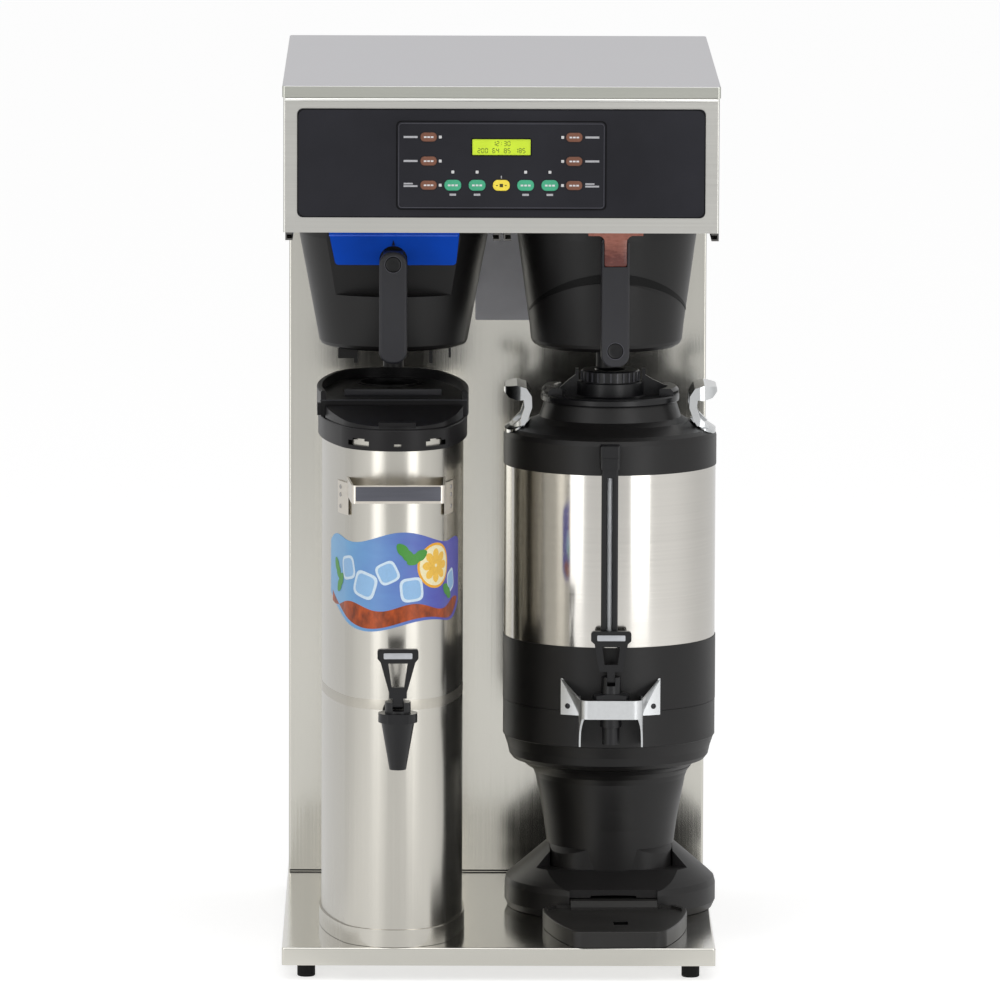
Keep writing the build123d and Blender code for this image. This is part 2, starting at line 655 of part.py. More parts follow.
def tea_lid_flap():
    """The hinged front half of the lid: a shallow shell, open below, with a finger tab and two pins."""
    pivot_y, pivot_z = FLAP_PIVOT
    rear = pivot_y - 0.5
    flap = flap_block(2.0, FLAP_BOTTOM, rear, FLAP_TOP[0], (-163, FLAP_TOP[1]))
    flap -= flap_block(-0.4, FLAP_BOTTOM - 1, rear + 1, FLAP_TOP[0] - 2.2, (-148, FLAP_TOP[1] - 0.9))
    flap += plate_yz([(-160.5, 587), (-152, 587), (-152, 593), (-160.5, 593)], (-19.5, 19.5))
    lug = rod_x(3.2, (47.0, 53.0), pivot_y, pivot_z)
    lug += box((47.0, 53.0), (pivot_y - 6, rear), (pivot_z - 1.5, pivot_z + 4))
    lug += rod_x(PIN_RADIUS, (40.0, 48.0), pivot_y, pivot_z)
    return flap + mirrored(lug)


# ---------------------------------------------------------------- coffee urn, about its axis
def urn_flask():
    """The insulated flask: a thick-walled bottle whose steel side shows as a wide band."""
    bore = 104.5
    flask = turned(
        [
            (0, 264), (SEAT_RADIUS - 0.4, 264), (SEAT_RADIUS - 0.4, BAND_Z[0] - 0.2),
            (FLASK_RADIUS, BAND_Z[0] - 0.2), (FLASK_RADIUS, BAND_Z[1] + 0.2),
            (SEAT_RADIUS - 0.4, BAND_Z[1] + 0.2), (SEAT_RADIUS - 0.4, 540), (92, 556),
            (66, 566), (66, 576), (NECK_BORE, 576), (NECK_BORE, 560), (bore - 15, 544),
            (bore - 1, 533), (bore, 526), (bore, 282), (bore - 5, 276), (0, 276),
        ]
    )
    return flask - rod_y(7.4, (-120, -90), 0, 288)


def urn_shoulder():
    """The moulded shoulder over the flask, rising to the neck."""
    return turned(
        [
            (SEAT_RADIUS, BAND_Z[1] + 0.4), (URN_RADIUS, BAND_Z[1] + 0.4), (URN_RADIUS, 548),
            (112, 553), (107, 556.5), (84, 563.5), (76, 568), (70.5, NECK_TOP),
            (NECK_BORE, NECK_TOP), (NECK_BORE, 576.3), (66.3, 576.3), (66.3, 566.2),
            (92.2, 556.4), (SEAT_RADIUS, 540.6),
        ]
    )


def urn_lower_shell():
    """The moulded band round the flask's foot, which carries the tap."""
    shell = turned(
        [
            (SEAT_RADIUS, LOWER_SEAM + 0.5), (URN_RADIUS, LOWER_SEAM + 0.5),
            (URN_RADIUS, BAND_Z[0] - 0.4), (SEAT_RADIUS, BAND_Z[0] - 0.4),
        ]
    )
    return shell - rod_y(7.4, (-125, -100), 0, 288)


def on_foot(piece):
    """A piece of the foot, turned and moved to where the foot stands under the flask."""
    return Pos(FOOT_SHIFT, 0, 0) * Rot(0, 0, FOOT_TURN) * piece


def foot_notch():
    """The space in front of the stem, over a floor that falls to the mouth, and the mouth itself."""
    stem = turned([(0, 60), (63, 60), (66, STEM_LOW), (68.4, 106), (79, 170), (0, 170)])
    base = fillet(box((-65.5, 65.5), (-63, 63), (60, 120)).edges().filter_by(Axis.Z), 38.0)
    half = [(66, 0), (66, -36), (100, -62), (125, -80), (125, -130)]
    plan = half + [(-x, y) for x, y in reversed(half)]
    above_floor = [(0, STEM_LOW), (-63, STEM_LOW), (MOUTH_Y, 68.4), (-130, 53.5), (-130, 120), (0, 120)]
    outline = Polyline(*plan, close=True)
    notch = upright(make_face(outline), (40, 120)) & plate_yz(above_floor, (-130, 130))
    mouth = box((-MOUTH_HALF, MOUTH_HALF), (-130, MOUTH_Y), (35, 80))
    mouth += box((-MOUTH_HALF, MOUTH_HALF), (-130, MOUTH_Y + 18), (35, 60))
    return (notch - stem - base) + mouth


def urn_pedestal():
    """The waisted pedestal, hollow and open below, with a notch in the front of its wide foot."""
    waist = 190.0
    upper = turned(
        [
            (0, 262.8), (113.9, 262.8), (113.9, 224.5), (112.9, 223.8), (108.8, 211.5), (107, 203),
            (103.3, 198.4), (93.4, 194.6), (88.2, waist), (0, waist),
        ]
    )
    lower = turned(
        [
            (0, waist), (87.0, waist), (82.6, 184), (80.5, 178), (79.2, 171), (75, 150), (71.1, 127),
            (68.4, 106), (107, 73), (111.8, 68.5), (113.5, 62), (113.5, 44), (110, 36.4), (102, 36.4),
            (102, 62), (66, 70), (0, 70),
        ]
    )
    inner_stem = [(60, 60), (60, 80), (64.6, 106), (74.5, 168), (77, 178), (80, waist + 1)]
    inner_drum = [(80, waist - 1), (92, 199), (101, 204), (104, 212), (108, 228), (108, 256)]
    stem_hollow = turned([(0, 60)] + inner_stem + [(0, waist + 1)])
    drum_hollow = turned([(0, waist - 1)] + inner_drum + [(0, 256)])
    return (upper - drum_hollow) + on_foot(lower - stem_hollow - foot_notch()) - drum_hollow


def gauge_guard():
    """The channel that shields the sight tube, under a nut and a cap."""
    front, back = -125.2, -URN_RADIUS - 0.15
    guard = upright_edges(box((-8.9, 8.9), (front, back), (343, 526)), 2.0)
    guard -= box((-3.4, 3.4), (front - 1, -116), (348, 516))
    nut = upright_edges(box((-10.8, 10.8), (-127.4, back), (525, 538)), 3.0)
    cap = upright_edges(box((-11.2, 11.2), (-128.2, back), (537.4, 551)), 3.0)
    cap = chamfer(cap.faces().sort_by(Axis.Z)[-1].edges(), 1.2)
    guard = guard + nut + cap - drum(3.3, (348, 526.2), (0, -119.6))
    return Pos(GAUGE_X, 0, 0) * (guard - box((-12, 12), (-129, -126.6), (536.8, 537.6)))


def gauge_tube():
    """The sight tube behind the guard's slot."""
    return drum(3.0, (348.2, 525.8), (GAUGE_X, -119.6))


def urn_tap_body():
    profile = [
        (0, 231.5), (9.2, 231.5), (9.2, 250), (11.5, 250.5), (11.5, 258), (13, 272), (19.7, 278.5),
        (19.7, 284.5), (11, 286.5), (10.2, 304), (0, 304),
    ]
    body = tap_body(profile, 4.4, URN_TAP_PIVOT, 294.9, (7.0, 288.0, 28.0, 12.0), 270)
    return Pos(0, URN_TAP_OFFSET, 0) * body


def urn_tap_lever():
    outline = [
        (-21.4, 352.8), (21.4, 352.8), (21.4, 342.5), (17.7, 339), (12.6, 309.5),
        (-12.6, 309.5), (-17.7, 339), (-21.4, 342.5),
    ]
    window = [(-9.5, 336), (9.5, 336), (7, 317), (-7, 317)]
    return Pos(0, URN_TAP_OFFSET, 0) * tap_lever(outline, window, 4.1, URN_TAP_PIVOT, 309.5)


def tap_guard():
    """The bent guard in front of the tap: a round-cornered bow on two legs, with a splayed wing each side."""
    half, sheet, skin = GUARD_HALF, 1.8, URN_RADIUS + 0.3
    outer = box((-half, half), (GUARD_FRONT, -100), (229, 280))
    inner = box((sheet - half, half - sheet), (GUARD_FRONT + sheet, -90), (228, 281))
    bow = fillet(outer.edges().filter_by(Axis.Z).group_by(Axis.Y)[0], 11.0)
    bow -= fillet(inner.edges().filter_by(Axis.Z).group_by(Axis.Y)[0], 11.0 - sheet)
    bow -= plate_yz([(-160, 228), (-136, 228), (-139, 246), (-143.5, 260), (-160, 260)], (-50, 50))

    def section(y, corners):
        """A flat outline across the wing, from (x, z) corners."""
        return make_face(Polyline(*[(x, y, z) for x, z in corners], close=True))

    near = section(-136, [(half - sheet, 262), (half, 262), (half, 280), (half - sheet, 280)])
    far = section(-104, [(half - sheet, 260), (half, 260), (53, 297), (51, 297)])
    wing = loft([near, far], ruled=True)
    flange = drum(URN_RADIUS + 2.1, (259, 298)) - drum(skin, (258, 299))
    flange &= plate_xz([(half - 1, 259), (53, 259), (53, 298), (51, 298), (half - 1, 262)], (-130, -90))
    return bow + mirrored(wing + flange) - drum(skin, (220, 300))


def carry_handles():
    """Two arched lifting handles, each with an oval grip above and an oval flange on the shoulder."""
    spine = [
        (98, 552), (89, 566), (84, 580), (84.5, 592), (90, 600.5), (100, 603.5), (113.5, 601.5),
        (114.5, 596.5), (109, 590), (99, 587.5), (93, 588), (92, 580), (96, 568), (105, 559.5),
        (105, 552),
    ]
    handle = plate_xz(spine, (-36, 36))
    handle = fillet(handle.edges().filter_by(Axis.Y).sort_by(Axis.Z)[-5:], 2.0)
    plan = box((60, 114.5), (-36, 36), (540, 610))
    outer = plan.edges().filter_by(Axis.Z).group_by(Axis.X)[-1]
    handle &= fillet(outer, 22.0)
    handle -= box((80, 120), (-22, 22), (560, 589.5))
    shoulder = [(URN_RADIUS, 548.2), (112.2, 553.3), (107.2, 556.8), (84.2, 563.8), (76, 568.4)]

    def over_shoulder(gap):
        """The space under a skin that stands this far above the shoulder."""
        skin = [(r + 0.4 * gap, z + 0.9 * gap) for r, z in shoulder]
        return turned([(0, 500), (skin[0][0], 500)] + skin + [(70, 583), (0, 583)])

    pad = extrude(Pos(99.5, 0, 540) * Ellipse(13.6, 41), amount=40)
    flange = (over_shoulder(2.2) - over_shoulder(0.3)) & pad
    piece = (handle - over_shoulder(0.3)) + flange
    right = piece.solids().sort_by(SortBy.VOLUME)[-1]
    return Compound([right, mirror(right, about=Plane.YZ)])


def urn_lid():
    """The twist lid: a plug, a broad ring with two raised grips, and a cap with two posts and a hub."""
    ring_low = NECK_TOP + 0.3
    lid = turned(
        [
            (14, 566), (57.2, 566), (57.2, ring_low), (73.4, ring_low), (74, ring_low + 1), (74, 591),
            (72.6, 592.5), (66, 592.5), (64, 589.5), (38, 589.5), (36, 591), (35.6, 604.4),
            (34.8, 605.2), (31, 605.2), (31, 616.3), (29.8, 617.5), (17, 617.5), (14, 613.5),
        ]
    )
    grip = turned([(60, 588), (73.4, 588), (73.4, 596.5), (70.5, 600), (61, 600), (60, 599)])
    grip &= box((50, 80), (-30, 30), (588, 601))
    post = box((34.0, 37.4), (-3.2, 3.2), (588, 618.5))
    right = plate_xz([(37, 588), (71, 588), (71, 598.5), (58, 601), (45, 607), (37, 612)], (-2.6, 2.6))
    left = plate_xz([(-37, 588), (-56, 588), (-56, 596), (-45, 606), (-37, 612)], (-2.6, 2.6))
    return lid + mirrored(grip + post) + right + left


def tray_plan(inset):
    """The drip tray's plan: a short straight front whose sides swell back to the widest place."""
    front, back = -URN_DEPTH + inset, -104 - inset
    near, mid, far = 47.0 - 0.6 * inset, 66.5 - inset, 76.5 - inset
    right = [(far, -145), (far, -126), (66 - inset, back)]
    sides = [
        Line((-near, front), (near, front)),
        ThreePointArc((near, front), (mid, -208), (far, -145)),
        Polyline(*right, *[(-x, y) for x, y in reversed(right)]),
        ThreePointArc((-far, -145), (-mid, -208), (-near, front)),
    ]
    return make_face(sides)


def drip_tray():
    """The drip tray: a rounded basin whose raised tongue fits the foot's mouth."""
    half, front = MOUTH_HALF - 0.8, -URN_DEPTH
    tray = upright(tray_plan(0), (36.5, 53.5))
    tray = fillet(tray.edges().filter_by(Axis.Z).group_by(Axis.Y)[0], 14.0)
    tray = fillet(tray.faces().sort_by(Axis.Z)[-1].edges(), 1.2)
    basin = upright(tray_plan(5.0), (50.5, 55))
    tray -= fillet(basin.edges().filter_by(Axis.Z).group_by(Axis.Y)[0], 11.0)
    tray -= drum(114.4, (30, 60)) - box((-half, half), (-120, 0), (29, 61))
    tongue = plate_yz([(-118, 36.5), (-62, 36.5), (-62, 58.8), (-112, 58.8), (-118, 53.0)], (-half, half))
    return on_foot(tray + tongue - box((-4, 11.5), (front + 60, front + 80), (44, 52)))


# ---------------------------------------------------------------- water path and electrics
def water_tank():
    """The hot-water tank in the column, open under its lid."""
    x = (-HOT_TANK_HALF, HOT_TANK_HALF)
    tank = upright_edges(box(x, HOT_TANK_Y, HOT_TANK_Z), 12.0)
    wall = 1.5
    hollow = box(
        (x[0] + wall, x[1] - wall), (HOT_TANK_Y[0] + wall, HOT_TANK_Y[1] - wall),
        (HOT_TANK_Z[0] + wall, HOT_TANK_Z[1] + 1),
    )
    return tank - upright_edges(hollow, 10.5)


def lid_places():
    """Where the heater legs, the probes and the valves pass through the tank's lid."""
    y = (HOT_TANK_Y[0] + HOT_TANK_Y[1]) / 2
    heaters = [(-105, y), (-65, y), (65, y), (105, y)]
    probes = [(-20, y), (20, y)]
    return heaters, probes, y


def tank_lid():
    lid = box(
        (-HOT_TANK_HALF, HOT_TANK_HALF), HOT_TANK_Y, (HOT_TANK_Z[1] + 0.2, HOT_LID_TOP)
    )
    lid = upright_edges(lid, 12.0)
    heaters, probes, _ = lid_places()
    for place in heaters:
        lid -= drum(4.4, (700, 730), place)
    for place in probes:
        lid -= drum(3.4, (700, 730), place)
    return lid


def heating_elements():
    """Two sheathed heaters, each a hairpin that hangs in the tank."""
    _, _, y = lid_places()
    hairpins = []
    for middle in (-85, 85):
        legs = FilletPolyline(
            (middle - 20, y, 745), (middle - 20, y, 275), (middle + 20, y, 275), (middle + 20, y, 745),
            radius=18.0,
        )
        section = Plane(origin=(middle - 20, y, 745), z_dir=(0, 0, -1)) * Circle(4.0)
        hairpins.append(sweep(section, path=legs).solid())
    return Compound(hairpins)


def tank_probes():
    """The level probe and the shorter temperature probe, each under a round head."""
    _, probes, _ = lid_places()
    rods = []
    for place, low in zip(probes, (600, 420)):
        rod = drum(3.0, (low, 740), place) + drum(7.0, (HOT_LID_TOP + 0.1, 734), place)
        rods.append(rod.solid())
    return Compound(rods)


def valve_places():
    """The two brewing valves beside the tank's top and the inlet valve by the fitting."""
    y = HOT_TANK_Y[0] + 45
    return [(-185, y, 735), (185, y, 735), (SERVICE_X, WRAP_REAR_Y - 60, SERVICE_Z - 14)]


def solenoid_valves():
    """Three like valves: a block with a coil on top."""
    valves = []
    for x, y, z in valve_places():
        valve = box((x - 14, x + 14), (y - 14, y + 14), (z, z + 28))
        valve += drum(13.0, (z + 28, z + 56), (x, y))
        valves.append(valve.solid())
    return Compound(valves)


def hose(points, radius, bend):
    """A tube along straight runs joined by tangent arcs."""
    path = FilletPolyline(*points, radius=bend)
    start = Vector(*points[0])
    heading = Vector(*points[1]) - start
    return sweep(Plane(origin=start, z_dir=heading) * Circle(radius), path=path).solid()


def water_tubes():
    """The fill tube, the two tubes from tank to valve, and the two to the spray heads."""
    tea_valve, coffee_valve, inlet = valve_places()
    head_top = HOOD_BOTTOM + SHEET + 22.3
    tubes = []
    for valve, cone_x in ((tea_valve, TEA_CONE_X), (coffee_valve, COFFEE_CONE_X)):
        x, y, z = valve
        side = 1 if x > 0 else -1
        tubes.append(
            hose(
                [
                    (x, y - 14.2, z + 14), (x, y - 40, z + 14), (x, y - 40, 850),
                    (cone_x, y - 110, 850), (cone_x, CONE_Y, 850), (cone_x, CONE_Y, head_top),
                ],
                4.5, 14.0,
            )
        )
        tank_side = side * (HOT_TANK_HALF + 0.2)
        tubes.append(hose([(tank_side, y, 690), (x, y, 690), (x, y, z - 0.2)], 4.5, 14.0))
    x, y, z = inlet
    tubes.append(
        hose(
            [(x - 14.2, y, z + 14), (100, y, z + 14), (100, y, 180), (60, y, 200), (60, y, 239.8)],
            4.5, 14.0,
        )
    )
    return Compound(tubes)


def control_board():
    """The circuit board behind the keypad, with its relay, transformer and connectors."""
    y = WRAP_FRONT_Y + 12
    board = box((-115, 115), (y, y + 1.6), (815, 915))
    board += box((-95, -55), (y + 1, y + 32), (830, 870))
    board += box((40, 62), (y + 1, y + 18), (835, 865))
    board += box((-20, 30), (y + 1, y + 12), (880, 890))
    for x in (-90, -55, -20, 15, 50, 85):
        board += box((x, x + 20), (y - 6, y + 1), (842, 845))
    return board


def inlet_fitting():
    """The water inlet: a flared male end outside, a nut and a tail inside."""
    outside = (WRAP_REAR_Y, WRAP_REAR_Y + 4)
    fitting = rod_y(10.5, outside, SERVICE_X, SERVICE_Z)
    fitting += rod_y(FLARE_RADIUS, (outside[1] - 1, REAR_Y + INLET_REACH), SERVICE_X, SERVICE_Z)
    inside = WRAP_REAR_Y - 45.8
    fitting += rod_y(8.0, (inside, outside[0] + 1), SERVICE_X, SERVICE_Z)
    return fitting - rod_y(3.0, (inside - 1, REAR_Y + INLET_REACH + 1), SERVICE_X, SERVICE_Z)


def cord_gland():
    """The gland for the mains lead, with its flange outside and its nut inside."""
    gland = rod_y(9.0, (WRAP_REAR_Y - 16, WRAP_REAR_Y + 6), -SERVICE_X, SERVICE_Z)
    gland += rod_y(13.0, (WRAP_REAR_Y + 0.05, WRAP_REAR_Y + 6), -SERVICE_X, SERVICE_Z)
    gland += rod_y(12.5, (WRAP_REAR_Y - 9, WRAP_REAR_Y - SHEET - 0.05), -SERVICE_X, SERVICE_Z)
    return gland - rod_y(GLAND_BORE, (WRAP_REAR_Y - 17, WRAP_REAR_Y + 7), -SERVICE_X, SERVICE_Z)


# ---------------------------------------------------------------- all pieces, each in its place
def machine_nodes():
    nodes = {
        "base_tray": base_tray(),
        "feet": feet(),
        "back_panel": back_panel(),
        "rear_cover": rear_cover(),
        "hood_shell": hood_shell(),
        "top_cover": top_cover(),
        "hood_floor": hood_floor(),
        "control_panel": control_panel(),
        "keypad_bezel": keypad_bezel(),
        "display_window": display_window(),
        "cone_rails": cone_rails(),
        "spray_heads": spray_heads(),
        "water_tank": water_tank(),
        "tank_lid": tank_lid(),
        "heating_elements": heating_elements(),
        "tank_probes": tank_probes(),
        "solenoid_valves": solenoid_valves(),
        "water_tubes": water_tubes(),
        "control_board": control_board(),
        "inlet_fitting": inlet_fitting(),
        "cord_gland": cord_gland(),
    }
    for name, size, x, z in button_places():
        nodes[name] = Pos(x, 0, z) * button(size)
    return nodes


def cone_nodes():
    tea = {
        "tea_cone": tea_cone(),
        "tea_cone_insert": tea_cone_insert(),
        "tea_cone_handle": tea_cone_handle(),
        "tea_wire_basket": Pos(0, 6.5, 0) * wire_basket(68, 60),
    }
    coffee = {
        "coffee_cone_clip": coffee_cone_clip(),
        "coffee_cone_handle": coffee_cone_handle(),
        "coffee_wire_basket": wire_basket(76, 66),
    }
    nodes = {name: Pos(TEA_CONE_X, CONE_Y, 0) * piece for name, piece in tea.items()}
    place = Pos(COFFEE_CONE_X, CONE_Y, 0)
    nodes["coffee_cone"] = place * coffee_cone()
    nodes.update({name: place * Rot(0, 0, COFFEE_TURN) * piece for name, piece in coffee.items()})
    return nodes


def tea_dispenser_nodes():
    pieces = {
        "tea_tank": tea_tank(),
        "tea_tank_base_ring": tea_tank_base_ring(),
        "tea_tank_rim": tea_tank_rim(),
        "tea_tank_handle": tea_tank_handle(),
        "tea_tap_body": tea_tap_body(),
        "tea_tap_lever": tea_tap_lever(),
        "tea_lid_cover": tea_lid_cover(),
        "tea_lid_flap": tea_lid_flap(),
    }
    place = Pos(TEA_TANK_X, FRONT_Y + TEA_TANK_DEPTH, 0) * Rot(0, 0, TEA_TURN)
    return {name: place * piece for name, piece in pieces.items()}


def urn_nodes():
    pieces = {
        "urn_shoulder": urn_shoulder(),
        "urn_flask": urn_flask(),
        "urn_lower_shell": urn_lower_shell(),
        "urn_pedestal": urn_pedestal(),
        "gauge_guard": gauge_guard(),
        "gauge_tube": gauge_tube(),
        "urn_tap_body": urn_tap_body(),
        "urn_tap_lever": urn_tap_lever(),
        "tap_guard": tap_guard(),
        "carry_handles": carry_handles(),
        "urn_lid": urn_lid(),
        "drip_tray": drip_tray(),
    }
    return {name: Pos(URN_X, URN_Y, 0) * piece for name, piece in pieces.items()}


os.makedirs("parts", exist_ok=True)
for group in (machine_nodes(), cone_nodes(), tea_dispenser_nodes(), urn_nodes()):
    for node, shape in group.items():
        export_step(shape, f"parts/{node}.step")
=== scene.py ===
import math

import bpy
import numpy as np
from mathutils import Matrix, Vector


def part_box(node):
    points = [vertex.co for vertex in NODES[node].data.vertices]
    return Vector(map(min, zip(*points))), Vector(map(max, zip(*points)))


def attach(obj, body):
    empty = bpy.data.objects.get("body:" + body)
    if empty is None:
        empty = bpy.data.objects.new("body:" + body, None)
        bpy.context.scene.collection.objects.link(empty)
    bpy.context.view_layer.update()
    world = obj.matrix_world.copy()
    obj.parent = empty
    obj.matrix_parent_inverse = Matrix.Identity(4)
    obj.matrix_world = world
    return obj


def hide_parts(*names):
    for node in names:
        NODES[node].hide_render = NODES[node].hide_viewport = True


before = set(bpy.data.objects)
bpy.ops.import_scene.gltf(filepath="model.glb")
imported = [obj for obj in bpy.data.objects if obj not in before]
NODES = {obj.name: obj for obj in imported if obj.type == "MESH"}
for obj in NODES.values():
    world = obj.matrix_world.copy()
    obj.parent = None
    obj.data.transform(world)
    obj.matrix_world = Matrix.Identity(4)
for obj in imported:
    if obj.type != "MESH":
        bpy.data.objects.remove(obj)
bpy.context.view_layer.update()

bl_info = {
    "name": "Twin tea and coffee brewer",
    "version": (1, 0, 0),
    "blender": (4, 5, 0),
    "location": "View3D > Sidebar > Brewer",
    "description": "Finishes, fitted details and stage for a twin brewer for iced tea and coffee",
    "category": "Object",
}

MM = 0.001


# ---------------------------------------------------------------- properties
def linear(red, green, blue):
    """A display colour with channels 0 to 255, as the linear colour that a shader takes."""
    channels = np.array([red, green, blue], float) / 255
    low = channels / 12.92
    high = ((channels + 0.055) / 1.055) ** 2.4
    return tuple(np.where(channels <= 0.04045, low, high))


def colour_of(what, name, *display):
    """Property for the colour of a thing, from its display channels."""
    return bpy.props.FloatVectorProperty(
        name=name, description=f"Colour of {what}", subtype="COLOR", size=3, min=0, max=1,
        default=linear(*display),
    )


def length_of(what, name, millimetres):
    return bpy.props.FloatProperty(
        name=name, description=what, unit="LENGTH", subtype="DISTANCE", default=millimetres * MM
    )


def factor_of(what, name, value):
    return bpy.props.FloatProperty(
        name=name, description=what, subtype="FACTOR", min=0, max=1, default=value
    )


def number_of(what, name, value):
    return bpy.props.FloatProperty(name=name, description=what, min=0, default=value)


class BrewerSteel(bpy.types.PropertyGroup):
    sheet: colour_of("the machine's brushed sheet steel", "Sheet", 196, 195, 190)
    # Top and lip, and tray top and column, are the same sheet in two tones by the way their faces
    # look: painted light, the lighter, cooler top tones standing for the light and sky they catch
    # from above.
    top: colour_of("the top cover's steel", "Top", 196, 195, 199)
    lip: colour_of("the lip turned down from the top cover", "Lip", 182, 183, 175)
    column: colour_of("the column's and the tray's steel", "Column", 201, 199, 191)
    tray: colour_of("the top of the tray", "Tray top", 232, 230, 223)
    tank: colour_of("the tea tank's polished steel", "Tank", 190, 187, 179)
    flask: colour_of("the urn's steel band", "Flask", 204, 201, 195)
    fittings: colour_of("the guard and the carry handles", "Fittings", 205, 207, 208)
    # The strap's dark bluish tone is a painted reflection of dark surroundings in its polished
    # face.
    strap: colour_of("the brushed face of the tank's strap handle", "Strap", 96, 97, 104)
    sheet_roughness: factor_of("Roughness of the brushed sheet", "Sheet roughness", 0.32)
    column_roughness: factor_of("Roughness of the column and the tray", "Column roughness", 0.14)
    tank_roughness: factor_of("Roughness of the tea tank", "Tank roughness", 0.25)
    flask_roughness: factor_of("Roughness of the urn's band", "Flask roughness", 0.13)


class BrewerPlastics(bpy.types.PropertyGroup):
    cone: colour_of("the brew cones", "Cones", 19, 18, 18)
    handle: colour_of("the cones' handles", "Cone handles", 42, 42, 46)
    cap: colour_of("the caps let into the cones' handles", "Screw caps", 9, 9, 11)
    lid: colour_of("the tea dispenser's rim and lid", "Tea lid", 15, 14, 15)
    urn: colour_of("the urn's shells and pedestal", "Urn", 22, 21, 21)
    tray: colour_of("the drip tray", "Drip tray", 34, 33, 32)
    tap: colour_of("the taps and their levers", "Taps", 18, 18, 20)
    shield: colour_of("the tea cone's shield", "Shield", 6, 80, 208)
    clip: colour_of("the coffee cone's clip", "Clip", 116, 46, 34)


class BrewerPanel(bpy.types.PropertyGroup):
    overlay: colour_of("the dark overlay", "Overlay", 36, 36, 41)
    lit: colour_of("the lit display", "Display", 196, 222, 48)
    digit: colour_of("the display's digits", "Digits", 44, 62, 12)
    brown: colour_of("the coffee keys", "Brown keys", 120, 78, 60)
    green: colour_of("the tea keys", "Green keys", 66, 162, 124)
    yellow: colour_of("the select key", "Yellow key", 242, 216, 74)
    lamp: colour_of("the small lamp windows", "Lamps", 205, 205, 205)
    mark: colour_of("the printed marks", "Marks", 214, 214, 216)
    lamp_size: length_of("Width of a lamp window", "Lamp size", 3.0)
    digit_height: length_of("Height of a digit on the display", "Digit height", 4.6)


class BrewerTrim(bpy.types.PropertyGroup):
    plate: colour_of("the bare plate on the column", "Column plate", 212, 212, 218)
    badge: colour_of("the bare plates on the taps' levers", "Badge", 186, 188, 192)
    screw_radius: length_of("Radius of a sheet-metal screw's head", "Screw radius", 3.6)
    rivet_radius: length_of("Radius of a rivet on the tank's handle", "Rivet radius", 2.4)


class BrewerDecal(bpy.types.PropertyGroup):
    left: colour_of("the band's left end", "Left blue", 120, 178, 222)
    right: colour_of("the band's right end", "Right blue", 84, 84, 178)
    fruit: colour_of("the fruit slice", "Fruit", 246, 178, 52)
    leaf: colour_of("the leaves", "Leaf", 74, 150, 62)
    tea: colour_of("the wave of tea", "Tea", 146, 62, 20)
    half_width: length_of("Half of the band's width round the tank", "Half width", 118.0)
    low: length_of("Height of the band's lower edge", "Low edge", 377.0)
    high: length_of("Height of the band's upper edge", "High edge", 471.0)


class BrewerStage(bpy.types.PropertyGroup):
    floor: colour_of("the floor", "Floor", 205, 205, 205)
    glow: number_of("Extra white of the floor in view", "Floor glow", 0.60)
    behind: number_of("White of the studio behind, in steel", "Behind", 0.78)
    ahead: number_of("White of the studio in front, in steel", "Ahead", 0.8)
    world: number_of("Light from all round", "World", 0.62)
    strip_left: number_of("Power of the left strip lamp", "Left strip", 14.0)
    strip_right: number_of("Power of the right strip lamp", "Right strip", 17.0)
    overhead: number_of("Power of the lamp above", "Overhead", 20.0)
    lens: number_of("Focal length, in millimetres", "Lens", 375.33)


GROUPS = {
    "brewer_steel": BrewerSteel,
    "brewer_plastics": BrewerPlastics,
    "brewer_panel": BrewerPanel,
    "brewer_trim": BrewerTrim,
    "brewer_decal": BrewerDecal,
    "brewer_stage": BrewerStage,
}


def settings(group):
    return getattr(bpy.context.scene, group)


# ---------------------------------------------------------------- meshes from arrays
# A shape is three arrays: vertices, four-sided faces and triangles.
NO_TRIANGLES = np.zeros((0, 3), int)


def grid_faces(rows, columns, closed_rows=False, closed_columns=True):
    """Corner numbers of a grid's faces. Its rows or columns may close on themselves."""
    number = np.arange(rows * columns).reshape(rows, columns)
    if closed_rows:
        number = np.concatenate([number, number[:1]], 0)
    if closed_columns:
        number = np.concatenate([number, number[:, :1]], 1)
    corners = [number[:-1, :-1], number[:-1, 1:], number[1:, 1:], number[1:, :-1]]
    return np.stack([c.ravel() for c in corners], 1)


def capped(rings):
    """Closed shell of a stack of rings, shape (rings, points, 3), with a fan at each end.

    The fan's middle is the mean of its ring. Faces point outwards when each ring runs
    anticlockwise seen from the end that the stack climbs towards.
    """
    count, points = rings.shape[:2]
    middles = np.stack([rings[0].mean(0), rings[-1].mean(0)])
    vertices = np.concatenate([rings.reshape(-1, 3), middles])
    ring = np.arange(points)
    following = np.roll(ring, -1)
    first, last = count * points, count * points + 1
    low = np.stack([following, ring, np.full(points, first)], 1)
    top = (count - 1) * points
    high = np.stack([ring + top, following + top, np.full(points, last)], 1)
    return vertices, grid_faces(count, points), np.concatenate([low, high])


def hoop(section):
    """Closed band from a grid of points: rows go round the section, columns round the hoop."""
    rows, columns = section.shape[:2]
    return section.reshape(-1, 3), grid_faces(rows, columns, True, True), NO_TRIANGLES


def thin_sheet(front, back):
    """A closed thin sheet from two grids of points, one behind the other."""
    rows, columns = front.shape[:2]
    count = rows * columns
    faces = grid_faces(rows, columns, False, False)
    number = np.arange(count).reshape(rows, columns)
    rim = np.concatenate([number[0, :-1], number[:-1, -1], number[-1, :0:-1], number[:0:-1, 0]])
    following = np.roll(rim, -1)
    wall = np.stack([rim, following, following + count, rim + count], 1)
    vertices = np.concatenate([front.reshape(-1, 3), back.reshape(-1, 3)])
    return vertices, np.concatenate([faces, faces[:, ::-1] + count, wall[:, ::-1]]), NO_TRIANGLES


